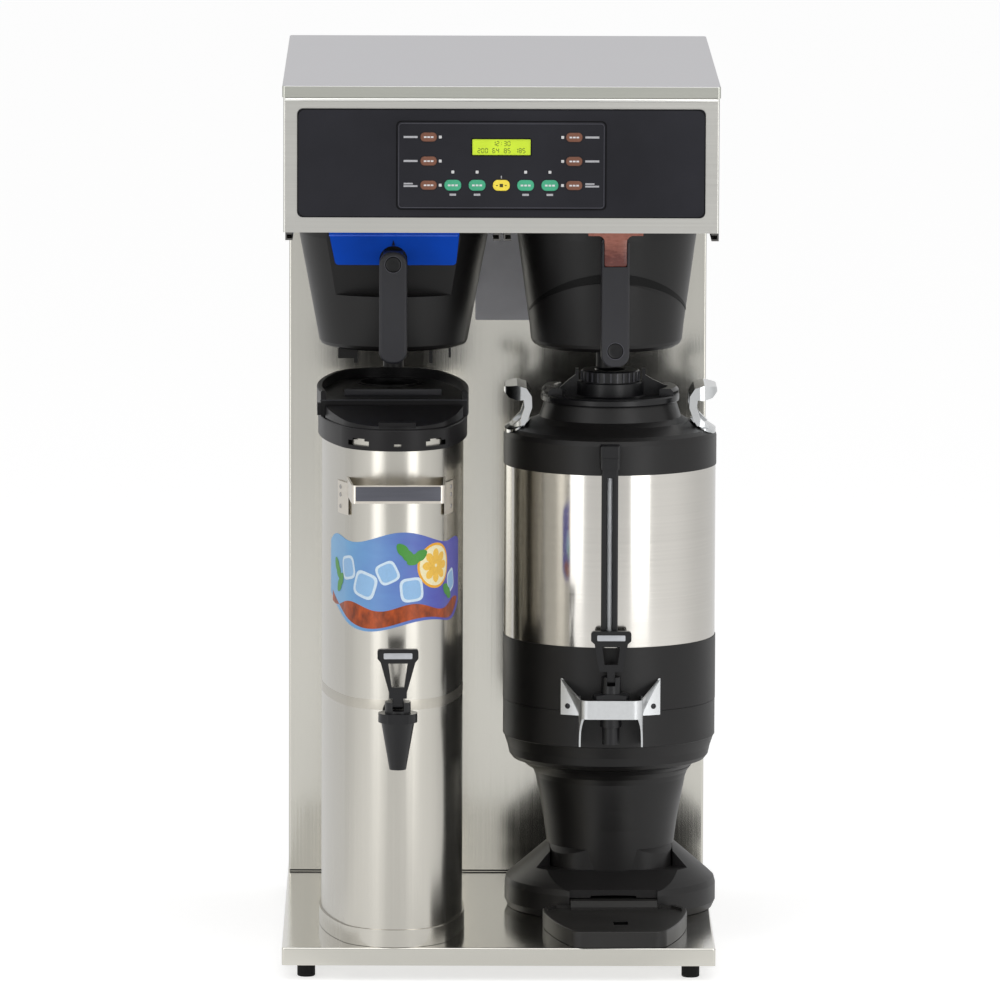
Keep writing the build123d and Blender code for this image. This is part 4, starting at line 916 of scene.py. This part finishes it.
class BREWER_OT_cone_arch(bpy.types.Operator):
    """Paint the shade of the arched recess above the coffee cone's bulge as a dark band

    The band's lower edge falls from the front as a cosine of the angle round the cone, and its
    height as the square of that cosine. Its radius grows with height as the cone's does.
    """

    bl_idname = "brewer.cone_arch"
    bl_label = "Coffee cone recess"

    def execute(self, context):
        angle = np.radians(np.linspace(-80, 80, 81))[None, :]
        up = np.linspace(0, 1, 5)[:, None]
        start = 0.6665 + 0.0529 * np.cos(angle) + 0.0105 * (1 - np.cos(angle)) ** 2
        height = start + (0.0020 + 0.0085 * np.cos(angle) ** 2) * up
        radius = 0.0802 + (height - 0.650) * (0.0094 / 0.068)
        front, back = (
            np.stack([(radius + lift) * np.sin(angle), -(radius + lift) * np.cos(angle), height], 2)
            for lift in (0.0005, -0.0003)
        )
        # Painted shade: a near-black sheet laid on the cone where the recess's shadow falls.
        dark = moulded("recess_shadow", linear(7, 7, 7), 0.45, 0.15)
        recess = on_coffee_cone(thin_sheet(front, back))
        add_piece("coffee_cone_painted_shade", recess, dark, "coffee_cone_body")
        return {"FINISHED"}


# ---------------------------------------------------------------- tea dispenser details
TANK_AXIS = np.array([-0.1133, -0.11525])
TANK_TURN = math.radians(1.9)
END_RADIUS = 0.057
END_CENTRE = 0.103
FLANK_RADIUS = 0.360694
FLANK_CENTRE = FLANK_RADIUS - 0.075
JOIN = math.atan2(FLANK_CENTRE, END_CENTRE)
PRINT_THICK = 0.00006


def tank_skin(along, height, lift):
    """Points on the tank's front skin.

    along is the arc length round the oval from the middle of its front: first on the round
    end, of radius END_RADIUS about a centre in front of the axis, and past the join on the
    flank, of radius FLANK_RADIUS about a centre across the axis. lift stands off the skin.
    """
    side = np.sign(along)
    run = np.abs(along)
    join_run = JOIN * END_RADIUS
    turn = np.minimum(run, join_run) / END_RADIUS
    x_end = (END_RADIUS + lift) * np.sin(turn)
    y_end = -END_CENTRE - (END_RADIUS + lift) * np.cos(turn)
    bend = JOIN + np.maximum(run - join_run, 0) / FLANK_RADIUS
    x_flank = -FLANK_CENTRE + (FLANK_RADIUS + lift) * np.sin(bend)
    y_flank = -(FLANK_RADIUS + lift) * np.cos(bend)
    on_flank = run > join_run
    x = side * np.where(on_flank, x_flank, x_end)
    y = np.where(on_flank, y_flank, y_end)
    cos, sin = math.cos(TANK_TURN), math.sin(TANK_TURN)
    return np.stack([
        TANK_AXIS[0] + x * cos - y * sin,
        TANK_AXIS[1] + x * sin + y * cos,
        np.broadcast_to(height, x.shape),
    ], -1)


def tank_loop(lift, height, points=60):
    """The tank's whole plan as a closed loop at a height, stood off by a lift.

    The front half comes from the skin's arc length, and the rear half is the front half
    turned half way round the axis.
    """
    quarter = JOIN * END_RADIUS + (math.pi / 2 - JOIN) * FLANK_RADIUS
    along = np.linspace(-quarter, quarter, 2 * points, endpoint=False)
    front = tank_skin(along, 0.0, lift)[:, :2] - TANK_AXIS
    loop = np.concatenate([front, -front]) + TANK_AXIS
    return np.concatenate([loop, np.full((len(loop), 1), height)], 1)


def on_tank(shape):
    """A shape about the tank's own axis, turned with the tank and moved to it."""
    return spun(shape, TANK_TURN, (*TANK_AXIS, 0.0))


def skin_patch(along, height, lift):
    """A thin closed sheet on the tank's skin from grids of arc length and height."""
    return thin_sheet(tank_skin(along, height, lift + PRINT_THICK), tank_skin(along, height, lift))


def skin_disc(middle, radius, lift, points=40, turn=0.0, rings=5):
    """A thin sheet on the skin, filled to its middle. Its radius may be a function of the angle."""
    angle = np.linspace(0, 2 * math.pi, points, endpoint=False)
    radius = radius(angle) if callable(radius) else np.full(points, float(radius))
    share = np.linspace(1, 0.02, rings)[:, None]
    along = middle[0] + share * radius * np.cos(angle + turn)
    height = middle[1] + share * radius * np.sin(angle + turn)
    back, front = (tank_skin(along, height, lift + thick) for thick in (0.0, PRINT_THICK))
    return capped(np.concatenate([back[::-1], front]))


def leaf_radius(length, width):
    """Radius of a pointed leaf by angle: an ellipse narrowed towards both tips."""
    def radius(angle):
        x, z = np.cos(angle), np.sin(angle)
        ellipse = 1 / np.sqrt((x / (length / 2)) ** 2 + (z / (width / 2)) ** 2)
        return ellipse * (1 - 0.18 * np.cos(2 * angle) ** 2 + 0.18 * np.abs(x) ** 12)
    return radius


def square_radius(half):
    """Radius of a soft-cornered square by angle: x^4 plus z^4 is the half width's fourth power."""
    def radius(angle):
        return half / (np.abs(np.cos(angle)) ** 4.0 + np.abs(np.sin(angle)) ** 4.0) ** (1 / 4.0)
    return radius


class BREWER_OT_decal(bpy.types.Operator):
    """Print a plain band of ice, fruit, leaves and tea on the tea tank

    The band's edges are sines of the place across it, drawn together at its ends by a fourth
    power. The wave of tea follows the lower edge below a faster sine.
    """

    bl_idname = "brewer.decal"
    bl_label = "Tank print"

    def execute(self, context):
        s = settings("brewer_decal")
        across, up = np.meshgrid(np.linspace(-1, 1, 161), np.linspace(0, 1, 25))
        low = s.low + 0.006 * np.sin(across * 5.5) + 0.022 * across**4
        high = s.high + 0.006 * np.sin(across * 6.5 + 1.2) - 0.018 * across**4
        band = skin_patch(across * s.half_width, low + (high - low) * up, 0.00012)
        blue = Shader("print_blue", s.left, 0.35, specular=0.4)
        x = blue.ranged(blue.parts(blue.place())["X"], -0.15, 0.85, (-0.175, -0.055))
        share = blue.math("MULTIPLY_ADD", blue.noise(26.0, (1, 1, 2.5)), 0.35, x)
        blue.set({"Base Color": blue.mixed(share, s.left, s.right)})

        base = low + 0.003
        wave = s.low + 0.020 + 0.004 * np.sin(across * 9.0)
        tea = skin_patch(across * s.half_width * 0.93, base + (wave - base) * up, 0.00020)
        amber = Shader("print_amber", s.tea, 0.35, specular=0.4)
        amber.tinted(amber.noise(120.0, (1, 1, 0.6), 4.0), 0.55, 1.7)

        middle = (s.low + s.high) / 2
        fruit = (0.046, middle + 0.016)
        rind = skin_disc(fruit, 0.024, 0.00022, 48, rings=8)
        pith = skin_disc(fruit, 0.0213, 0.00030, 48, rings=8)
        wedges = [
            skin_disc(
                (fruit[0] + 0.0098 * math.cos(a), fruit[1] + 0.0098 * math.sin(a)),
                leaf_radius(0.0165, 0.0098), 0.00038, 32, a,
            )
            for a in np.linspace(0, 2 * math.pi, 8, endpoint=False)
        ]
        cubes = [
            (-0.062, 0.012, 0.2, 0.0125), (-0.036, -0.004, -0.3, 0.0140),
            (-0.010, 0.010, 0.45, 0.0115), (0.016, -0.008, 0.1, 0.0128),
            (0.082, -0.004, 0.3, 0.0115),
        ]
        ice, cores = (
            [
                skin_disc((x, middle + z), square_radius(half * size), lift, turn=turn)
                for x, z, turn, half in cubes
            ]
            for size, lift in ((1.0, 0.00030), (0.78, 0.00038))
        )
        leaves = [
            skin_disc((x, middle + z), leaf_radius(0.026, 0.012), 0.00046, turn=turn)
            for x, z, turn in (
                (0.022, 0.026, 0.5), (0.009, 0.031, 2.3), (0.070, -0.014, -0.6),
                (-0.082, -0.006, 0.9), (-0.090, 0.008, 2.2),
            )
        ]
        for name, shapes, ink in (
            ("band", [band], blue.material),
            ("tea", [tea], amber.material),
            ("rind", [rind], printed("print_rind", s.fruit)),
            ("pith", [pith], printed("print_pith", linear(252, 240, 196))),
            ("wedges", wedges, printed("print_flesh", linear(250, 200, 84))),
            ("ice", ice, printed("print_ice", linear(214, 232, 246))),
            ("ice_cores", cores, printed("print_ice_core", linear(150, 192, 232))),
            ("leaves", leaves, printed("print_leaf", s.leaf)),
        ):
            add_piece(f"tank_print_{name}", gathered(*shapes), ink, "tea_dispenser")
        return {"FINISHED"}


class BREWER_OT_strap_rivets(bpy.types.Operator):
    """Rivet the strap handle to the tank"""

    bl_idname = "brewer.strap_rivets"
    bl_label = "Handle rivets"

    def execute(self, context):
        radius = settings("brewer_trim").rivet_radius
        rivet = domed(radius, 0.45 * radius, 6, (radius * 0.05, 0.45 * radius))
        shapes = []
        for along in (-0.0770, 0.0770):
            for height in (0.4994, 0.5117, 0.5199):
                where = np.array([along])
                place, ahead = (tank_skin(where, height, lift)[0] for lift in (0.0022, 0.0032))
                shapes.append(aimed(rivet, ahead - place, place))
        steel = fine_steel("rivet_steel", linear(150, 148, 146), 0.3)
        add_piece("strap_rivets", gathered(*shapes), steel, "tea_dispenser")
        return {"FINISHED"}


class BREWER_OT_tank_bead(bpy.types.Operator):
    """Roll the weld bead round the tea tank

    Its section is a low bulge of (lift, height) corners, carried round the tank's plan.
    """

    bl_idname = "brewer.tank_bead"
    bl_label = "Tank bead"

    def execute(self, context):
        section = [
            (-0.3, 288.6), (0.02, 288.6), (0.12, 290.6), (0.16, 294.0),
            (0.12, 297.4), (0.02, 299.4), (-0.3, 299.4),
        ]
        loops = np.stack([tank_loop(lift * MM, height * MM) for lift, height in section])
        steel = drawn_steel("bead_steel", linear(184, 180, 170), 0.34, (400, 400, 60))
        add_piece("tank_bead", hoop(loops), steel, "tea_dispenser")
        return {"FINISHED"}


class BREWER_OT_strap_face(bpy.types.Operator):
    """Lay a brushed face on the strap handle, dark and bluish as a painted reflection"""

    bl_idname = "brewer.strap_face"
    bl_label = "Strap face"

    def execute(self, context):
        face = moved(front_plate(0.0890, 0.0152, 0.0012, 0.0003, 0.0001), 0.0, -0.201, 0.5232)
        # Painted reflection: the face's steel is dark and bluish for the dark things it mirrors.
        base = settings("brewer_steel").strap
        steel = sheet_steel("strap_face_reflection", base, 0.34, (3, 600, 600), (600, 3, 600))
        add_piece("strap_face_reflection", on_tank(face), steel, "tea_dispenser")
        return {"FINISHED"}


class BREWER_OT_lid_trim(bpy.types.Operator):
    """Pick out the bar and the front edge of the tea lid's cover in a plastic paler than the lid;
    along the front edge the paler tone is a painted highlight
    """

    bl_idname = "brewer.lid_trim"
    bl_label = "Tea lid trim"

    def execute(self, context):
        # Paler plastic for the bar and the edge; on the front edge it is a painted highlight.
        plastic = moulded("lid_trim_and_highlight", linear(34, 34, 37), 0.34, 0.35)
        bar = moved(front_plate(0.1030, 0.0062, 0.0008, 0.0003, 0.0001), 0.0, -0.008, 0.6063)
        lip = rod_along_x(0.0780, 0.0009, (0.0, -0.0466, 0.6026), 0.001)
        trim = on_tank(gathered(bar, lip))
        add_piece("tea_lid_trim", trim, plastic, "tea_dispenser")
        return {"FINISHED"}


# ---------------------------------------------------------------- urn details
URN_AXIS = (0.1195, -0.00525)
FOOT_TURN = math.radians(1.3)
FOOT_SHIFT = 0.002
GUARD_SCREW_TURN = math.asin(45.8 / 116.2)


class BREWER_OT_tap_badges(bpy.types.Operator):
    """Set the bare plates on the taps' levers"""

    bl_idname = "brewer.tap_badges"
    bl_label = "Lever plates"

    def execute(self, context):
        steel = fine_steel("badge_steel", settings("brewer_trim").badge, 0.3)
        plate = front_plate(0.0300, 0.0062, 0.0012, 0.0006, 0.0003, -0.0035)
        for side, turn in (("tea", TANK_TURN), ("urn", 0.0)):
            low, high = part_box(f"{side}_tap_lever")
            place = Vector(((low.x + high.x) / 2, (low.y + high.y) / 2, high.z - 0.0072))
            badge = spun(plate, turn, np.array(place))
            add_piece(f"{side}_tap_lever_badge", badge, steel, f"{side}_lever_body")
        return {"FINISHED"}


class BREWER_OT_guard_screws(bpy.types.Operator):
    """Screw the tap guard to the urn's shell"""

    bl_idname = "brewer.guard_screws"
    bl_label = "Guard screws"

    def execute(self, context):
        dark = fine_steel("dark_screw", linear(60, 60, 62), 0.4)
        screw = domed(0.0030, 0.0011, 5, (0.0009, 0.0011), (0.0008, 0.0005))
        shapes = []
        for turn in (-GUARD_SCREW_TURN, GUARD_SCREW_TURN):
            outward = np.array([math.sin(turn), -math.cos(turn), 0.0])
            place = np.array([*URN_AXIS, 0.2685]) + 0.1163 * outward
            shapes.append(aimed(screw, outward, place))
        add_piece("guard_screws", gathered(*shapes), dark, "coffee_urn")
        return {"FINISHED"}


class BREWER_OT_gauge_cap(bpy.types.Operator):
    """Cap the top of the sight gauge's guard, with black bars painted as the shade in its slot and
    in the gap under the cap
    """

    bl_idname = "brewer.gauge_cap"
    bl_label = "Gauge cap"

    def execute(self, context):
        plastic = moulded("gauge_cap", settings("brewer_plastics").tap, 0.3, 0.45)
        x, y = URN_AXIS[0] - 0.002, URN_AXIS[1] - 0.1252
        back = y + 0.0006
        cap = moved(front_plate(0.0205, 0.0132, 0.0046, 0.0026, 0.0011, points=48), x, back, 0.5446)
        collar = moved(front_plate(0.0214, 0.0030, 0.0013, 0.0020, 0.0008), x, back, 0.5352)
        lobe = front_plate(0.0058, 0.0082, 0.0026, 0.0024, 0.0009)
        lobes = repeated(lobe, [(x + step, back, 0.5290) for step in (-0.0072, 0.0072)])
        add_piece("gauge_cap", gathered(cap, collar, lobes), plastic, "coffee_urn")
        # Painted shade: black bars where the slot and the gap under the cap are in shadow.
        dark = moulded("gauge_slot_shade", linear(5, 5, 6), 0.6, 0.1)
        slot = bars([(x, 0.5290, 0.0036, 0.0086), (x, 0.5376, 0.0190, 0.0008)], y - 0.0001)
        add_piece("gauge_slot_shade", slot, dark, "coffee_urn")
        return {"FINISHED"}


class BREWER_OT_lid_ribs(bpy.types.Operator):
    """Rib the pouring hub of the urn's lid

    Each rib is a block: its corners step out along the radius at its angle, and to both
    sides across it.
    """

    bl_idname = "brewer.lid_ribs"
    bl_label = "Lid ribs"

    def execute(self, context):
        count, low, high, half, depth, radius = 28, 0.6060, 0.6160, 0.0009, 0.0010, 0.0309
        angle = np.linspace(0, 2 * math.pi, count, endpoint=False)[:, None]
        plan = ((-1, 0), (1, 0), (1, 1), (-1, 1))
        corner = np.array([(x, y, z) for z in (0, 1) for x, y in plan])
        along = corner[:, 0] * half
        out = radius + corner[:, 1] * depth
        x = URN_AXIS[0] + out * np.cos(angle) - along * np.sin(angle)
        y = URN_AXIS[1] + out * np.sin(angle) + along * np.cos(angle)
        z = np.broadcast_to(low + corner[:, 2] * (high - low), x.shape)
        face = [[4, 5, 1, 0], [5, 6, 2, 1], [6, 7, 3, 2], [7, 4, 0, 3], [7, 6, 5, 4], [0, 1, 2, 3]]
        quads = (np.array(face)[None] + 8 * np.arange(count)[:, None, None]).reshape(-1, 4)
        ribs = (np.stack([x, y, z], 2).reshape(-1, 3), quads, NO_TRIANGLES)
        # Painted highlight: the ribs are lighter than the lid's plastic, for the light they catch.
        plastic = moulded("rib_plastic_highlight", linear(66, 66, 71), 0.22)
        add_piece("urn_lid_ribs", ribs, plastic, "urn_lid_body")
        return {"FINISHED"}


# ---------------------------------------------------------------- machine details
class BREWER_OT_column_plate(bpy.types.Operator):
    """Hang the bare plate on the column behind the cones"""

    bl_idname = "brewer.column_plate"
    bl_label = "Column plate"

    def execute(self, context):
        plate = front_plate(0.060, 0.144, 0.002, 0.0004, 0.0002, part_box("back_panel")[0].y)
        grey = moulded("column_plate", settings("brewer_trim").plate, 0.5)
        add_piece("column_plate", moved(plate, 0.0055, 0.0, 0.718), grey, "machine")
        return {"FINISHED"}


class BREWER_OT_lip_hem(bpy.types.Operator):
    """Round the hem below the top cover's lip"""

    bl_idname = "brewer.lip_hem"
    bl_label = "Lip hem"

    def execute(self, context):
        low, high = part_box("hood_shell")
        radius, short, drop = 0.0019, 0.0015, 0.0021
        place = (0.0, low.y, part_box("top_cover")[0].z - drop)
        steel = drawn_steel("hem_steel", linear(222, 222, 218), 0.3, (3, 500, 500))
        hem = rod_along_x(high.x - short, radius, place, 0.001)
        add_piece("lip_hem", hem, steel, "machine")
        return {"FINISHED"}


class BREWER_OT_tray_seam(bpy.types.Operator):
    """Paint the shadow in the seam where the column meets the tray as a dark rod, and the shade
    inside the drip tray's pocket as a black plate
    """

    bl_idname = "brewer.tray_seam"
    bl_label = "Tray seam and drip slot"

    def execute(self, context):
        low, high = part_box("back_panel")
        # Painted shadow: a dark rod along the seam at the column's foot.
        dark = moulded("foot_seam_shadow", linear(22, 21, 20), 0.6, 0.1)
        place = (middle_of("back_panel")[0], low.y - 0.0002, 0.0374)
        seam = rod_along_x((high.x - low.x) / 2 - 0.001, 0.0008, place, 0.0005)
        add_piece("column_foot_seam_shadow", seam, dark, "machine")
        # Painted shade: a black plate on the pocket's back wall, where the drip tray's pocket is in
        # shadow.
        slot = moved(front_plate(0.0152, 0.0060, 0.0008, 0.0002, 0.0001), 0.00375, -0.1922, 0.0472)
        slot = spun(slot, FOOT_TURN, (URN_AXIS[0] + FOOT_SHIFT, URN_AXIS[1], 0.0))
        black = moulded("drip_pocket_shade", linear(4, 4, 4), 0.6, 0.05)
        add_piece("drip_pocket_shade", slot, black, "drip_tray_body")
        return {"FINISHED"}


class BREWER_OT_sheet_screws(bpy.types.Operator):
    """Drive the sheet-metal screws of the rear cover"""

    bl_idname = "brewer.sheet_screws"
    bl_label = "Sheet-metal screws"

    def execute(self, context):
        radius = settings("brewer_trim").screw_radius
        steel = fine_steel("screw_steel", linear(168, 168, 168), 0.3)
        middle = ((radius * 0.3, 0.5 * radius), (radius * 0.25, 0.25 * radius))
        screw = domed(radius, 0.5 * radius, 6, *middle)
        low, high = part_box("rear_cover")
        side, end = 0.010, 0.030
        rows = np.linspace(low.z + end, high.z - end, 5)
        places = [(x, high.y, z) for x in (low.x + side, high.x - side) for z in rows]
        rear = repeated(aimed(screw, (0, 1, 0)), places)
        add_piece("sheet_screws", rear, steel, "machine")
        return {"FINISHED"}


# ---------------------------------------------------------------- stage
FLOOR_HALF = 30.0
LAMP_AIM = Vector((0.0, 0.0, 0.45))
CAMERA_PLACE = (-0.076845, -11.09675, 1.96106)
CAMERA_TILT, CAMERA_HEADING, CAMERA_ROLL = 90 - 7.628, -0.4057, 0.2


def surround(made, vector, ahead, behind):
    """Level of the studio's white in steel, by the direction round the object.

    The angle from the front is the arctangent of x over minus y, made positive. The level
    climbs smoothly from ahead to 1 between 20 and 32 degrees, and falls smoothly by
    1 - behind between 65 and 115 degrees.
    """
    x, y = made.parts(vector)[:2]
    angle = made.math("ARCTAN2", made.math("ABSOLUTE", x), made.math("MULTIPLY", y, -1.0))
    steps = [
        made.ranged(angle, low, high, np.radians(turn).tolist(), interpolation_type="SMOOTHSTEP")
        for turn, low, high in (((20, 32), ahead, 1.0), ((65, 115), 0.0, behind - 1.0))
    ]
    return made.math("ADD", *steps)


def make_floor(s):
    """A wide pale floor that keeps its shadows, with extra white where it is seen or mirrored."""
    corners = FLOOR_HALF * np.array([(-1, -1, 0), (1, -1, 0), (1, 1, 0), (-1, 1, 0)])
    mesh = bpy.data.meshes.new("floor")
    mesh.from_pydata(corners.tolist(), [], [(0, 1, 2, 3)])
    floor = bpy.data.objects.new("floor", mesh)
    bpy.context.scene.collection.objects.link(floor)
    material = bpy.data.materials.new("floor")
    material.use_nodes = True
    material.node_tree.nodes.clear()
    made = Nodes(material.node_tree)
    ray = made.node("LightPath").outputs
    seen = made.math("MAXIMUM", ray["Is Camera Ray"], ray["Is Transmission Ray"])
    levels = [1 - (1 - level) / s.glow for level in (s.ahead, s.behind)]
    level = surround(made, made.node("TexCoord").outputs["Object"], *levels)
    shine = made.math("MULTIPLY", level, ray["Is Glossy Ray"])
    glow = made.node("Emission")
    share = made.math("MULTIPLY", made.math("MAXIMUM", seen, shine), s.glow)
    made.feed(glow.inputs["Strength"], share)
    diffuse = made.node("BsdfDiffuse", Color=(*s.floor, 1))
    add = made.node("AddShader")
    made.feed(add.inputs[0], diffuse.outputs[0])
    made.feed(add.inputs[1], glow.outputs[0])
    made.feed(made.node("OutputMaterial").inputs["Surface"], add.outputs[0])
    mesh.materials.append(material)


def make_world(s):
    """White to the camera, a level by direction to steel, and even light to all else."""
    world = bpy.data.worlds.new("studio")
    bpy.context.scene.world = world
    world.use_nodes = True
    world.node_tree.nodes.clear()
    made = Nodes(world.node_tree)
    ray = made.node("LightPath").outputs
    level = surround(made, made.node("TexCoord").outputs["Generated"], s.ahead, s.behind)
    white = made.math("MAXIMUM", level, ray["Is Camera Ray"])
    seen = made.math("MAXIMUM", ray["Is Camera Ray"], ray["Is Glossy Ray"])
    seen = made.math("MAXIMUM", seen, ray["Is Transmission Ray"])
    back = made.node("Background", Color=(1, 1, 1, 1))
    made.feed(back.inputs["Strength"], made.ranged(seen, s.world, white, (0.0, 1.0)))
    made.feed(made.node("OutputWorld").inputs["Surface"], back.outputs[0])


def make_lamp(name, azimuth, distance, height, size, power):
    """A soft lamp that stands round the object and faces it."""
    data = bpy.data.lights.new(name, "AREA")
    data.shape = "RECTANGLE"
    data.size, data.size_y = size
    data.energy = power
    lamp = bpy.data.objects.new(name, data)
    angle = math.radians(azimuth)
    place = Vector((math.sin(angle) * distance, -math.cos(angle) * distance, height))
    turn = (LAMP_AIM - place).to_track_quat("-Z", "Y").to_matrix().to_4x4()
    lamp.matrix_world = Matrix.Translation(place) @ turn
    bpy.context.scene.collection.objects.link(lamp)


def make_camera(lens):
    data = bpy.data.cameras.new("camera")
    data.lens = lens
    data.sensor_width = 36.0
    data.clip_end = 100.0
    camera = bpy.data.objects.new("camera", data)
    bpy.context.scene.collection.objects.link(camera)
    heading, tilt, roll = (
        Matrix.Rotation(math.radians(angle), 4, axis)
        for angle, axis in ((CAMERA_HEADING, "Z"), (CAMERA_TILT, "X"), (CAMERA_ROLL, "Z"))
    )
    camera.matrix_world = Matrix.Translation(CAMERA_PLACE) @ heading @ tilt @ roll
    bpy.context.scene.camera = camera


class BREWER_OT_stage(bpy.types.Operator):
    """Make the floor, the light from all round, the lamps and the camera"""

    bl_idname = "brewer.stage"
    bl_label = "Stage"

    def execute(self, context):
        s = settings("brewer_stage")
        context.scene.view_settings.view_transform = "Standard"
        make_floor(s)
        make_world(s)
        make_lamp("left_strip", -37.0, 2.8, 1.1, (1.05, 2.4), s.strip_left)
        make_lamp("right_strip", 34.0, 2.8, 1.1, (1.05, 2.4), s.strip_right)
        make_lamp("overhead", 0.0, 1.5, 2.9, (3.0, 2.0), s.overhead)
        make_camera(s.lens)
        return {"FINISHED"}


OPERATORS = (
    BREWER_OT_steel, BREWER_OT_plastics, BREWER_OT_panel, BREWER_OT_inner_parts,
    BREWER_OT_panel_seams, BREWER_OT_display_digits, BREWER_OT_lamps, BREWER_OT_key_marks,
    BREWER_OT_screw_caps, BREWER_OT_shield_marks, BREWER_OT_clip, BREWER_OT_cone_arch,
    BREWER_OT_decal, BREWER_OT_strap_rivets, BREWER_OT_tank_bead, BREWER_OT_strap_face,
    BREWER_OT_lid_trim, BREWER_OT_tap_badges, BREWER_OT_guard_screws, BREWER_OT_gauge_cap,
    BREWER_OT_lid_ribs, BREWER_OT_column_plate, BREWER_OT_lip_hem, BREWER_OT_tray_seam,
    BREWER_OT_sheet_screws, BREWER_OT_stage,
)


class BREWER_PT_panel(bpy.types.Panel):
    """The brewer's settings and operators"""

    bl_label = "Brewer"
    bl_idname = "BREWER_PT_panel"
    bl_space_type = "VIEW_3D"
    bl_region_type = "UI"
    bl_category = "Brewer"

    def draw(self, context):
        layout = self.layout
        for name, group in GROUPS.items():
            box = layout.box()
            box.label(text=group.__name__)
            for key in group.__annotations__:
                box.prop(getattr(context.scene, name), key)
        for operator in OPERATORS:
            layout.operator(operator.bl_idname)


def register():
    for item in (*GROUPS.values(), *OPERATORS, BREWER_PT_panel):
        bpy.utils.register_class(item)
    for name, group in GROUPS.items():
        setattr(bpy.types.Scene, name, bpy.props.PointerProperty(type=group))


def unregister():
    for name in GROUPS:
        delattr(bpy.types.Scene, name)
    for item in reversed((*GROUPS.values(), *OPERATORS, BREWER_PT_panel)):
        bpy.utils.unregister_class(item)


def main():
    register()
    for operator in OPERATORS:
        area, name = operator.bl_idname.split(".")
        getattr(getattr(bpy.ops, area), name)()


if __name__ == "__main__":
    main()
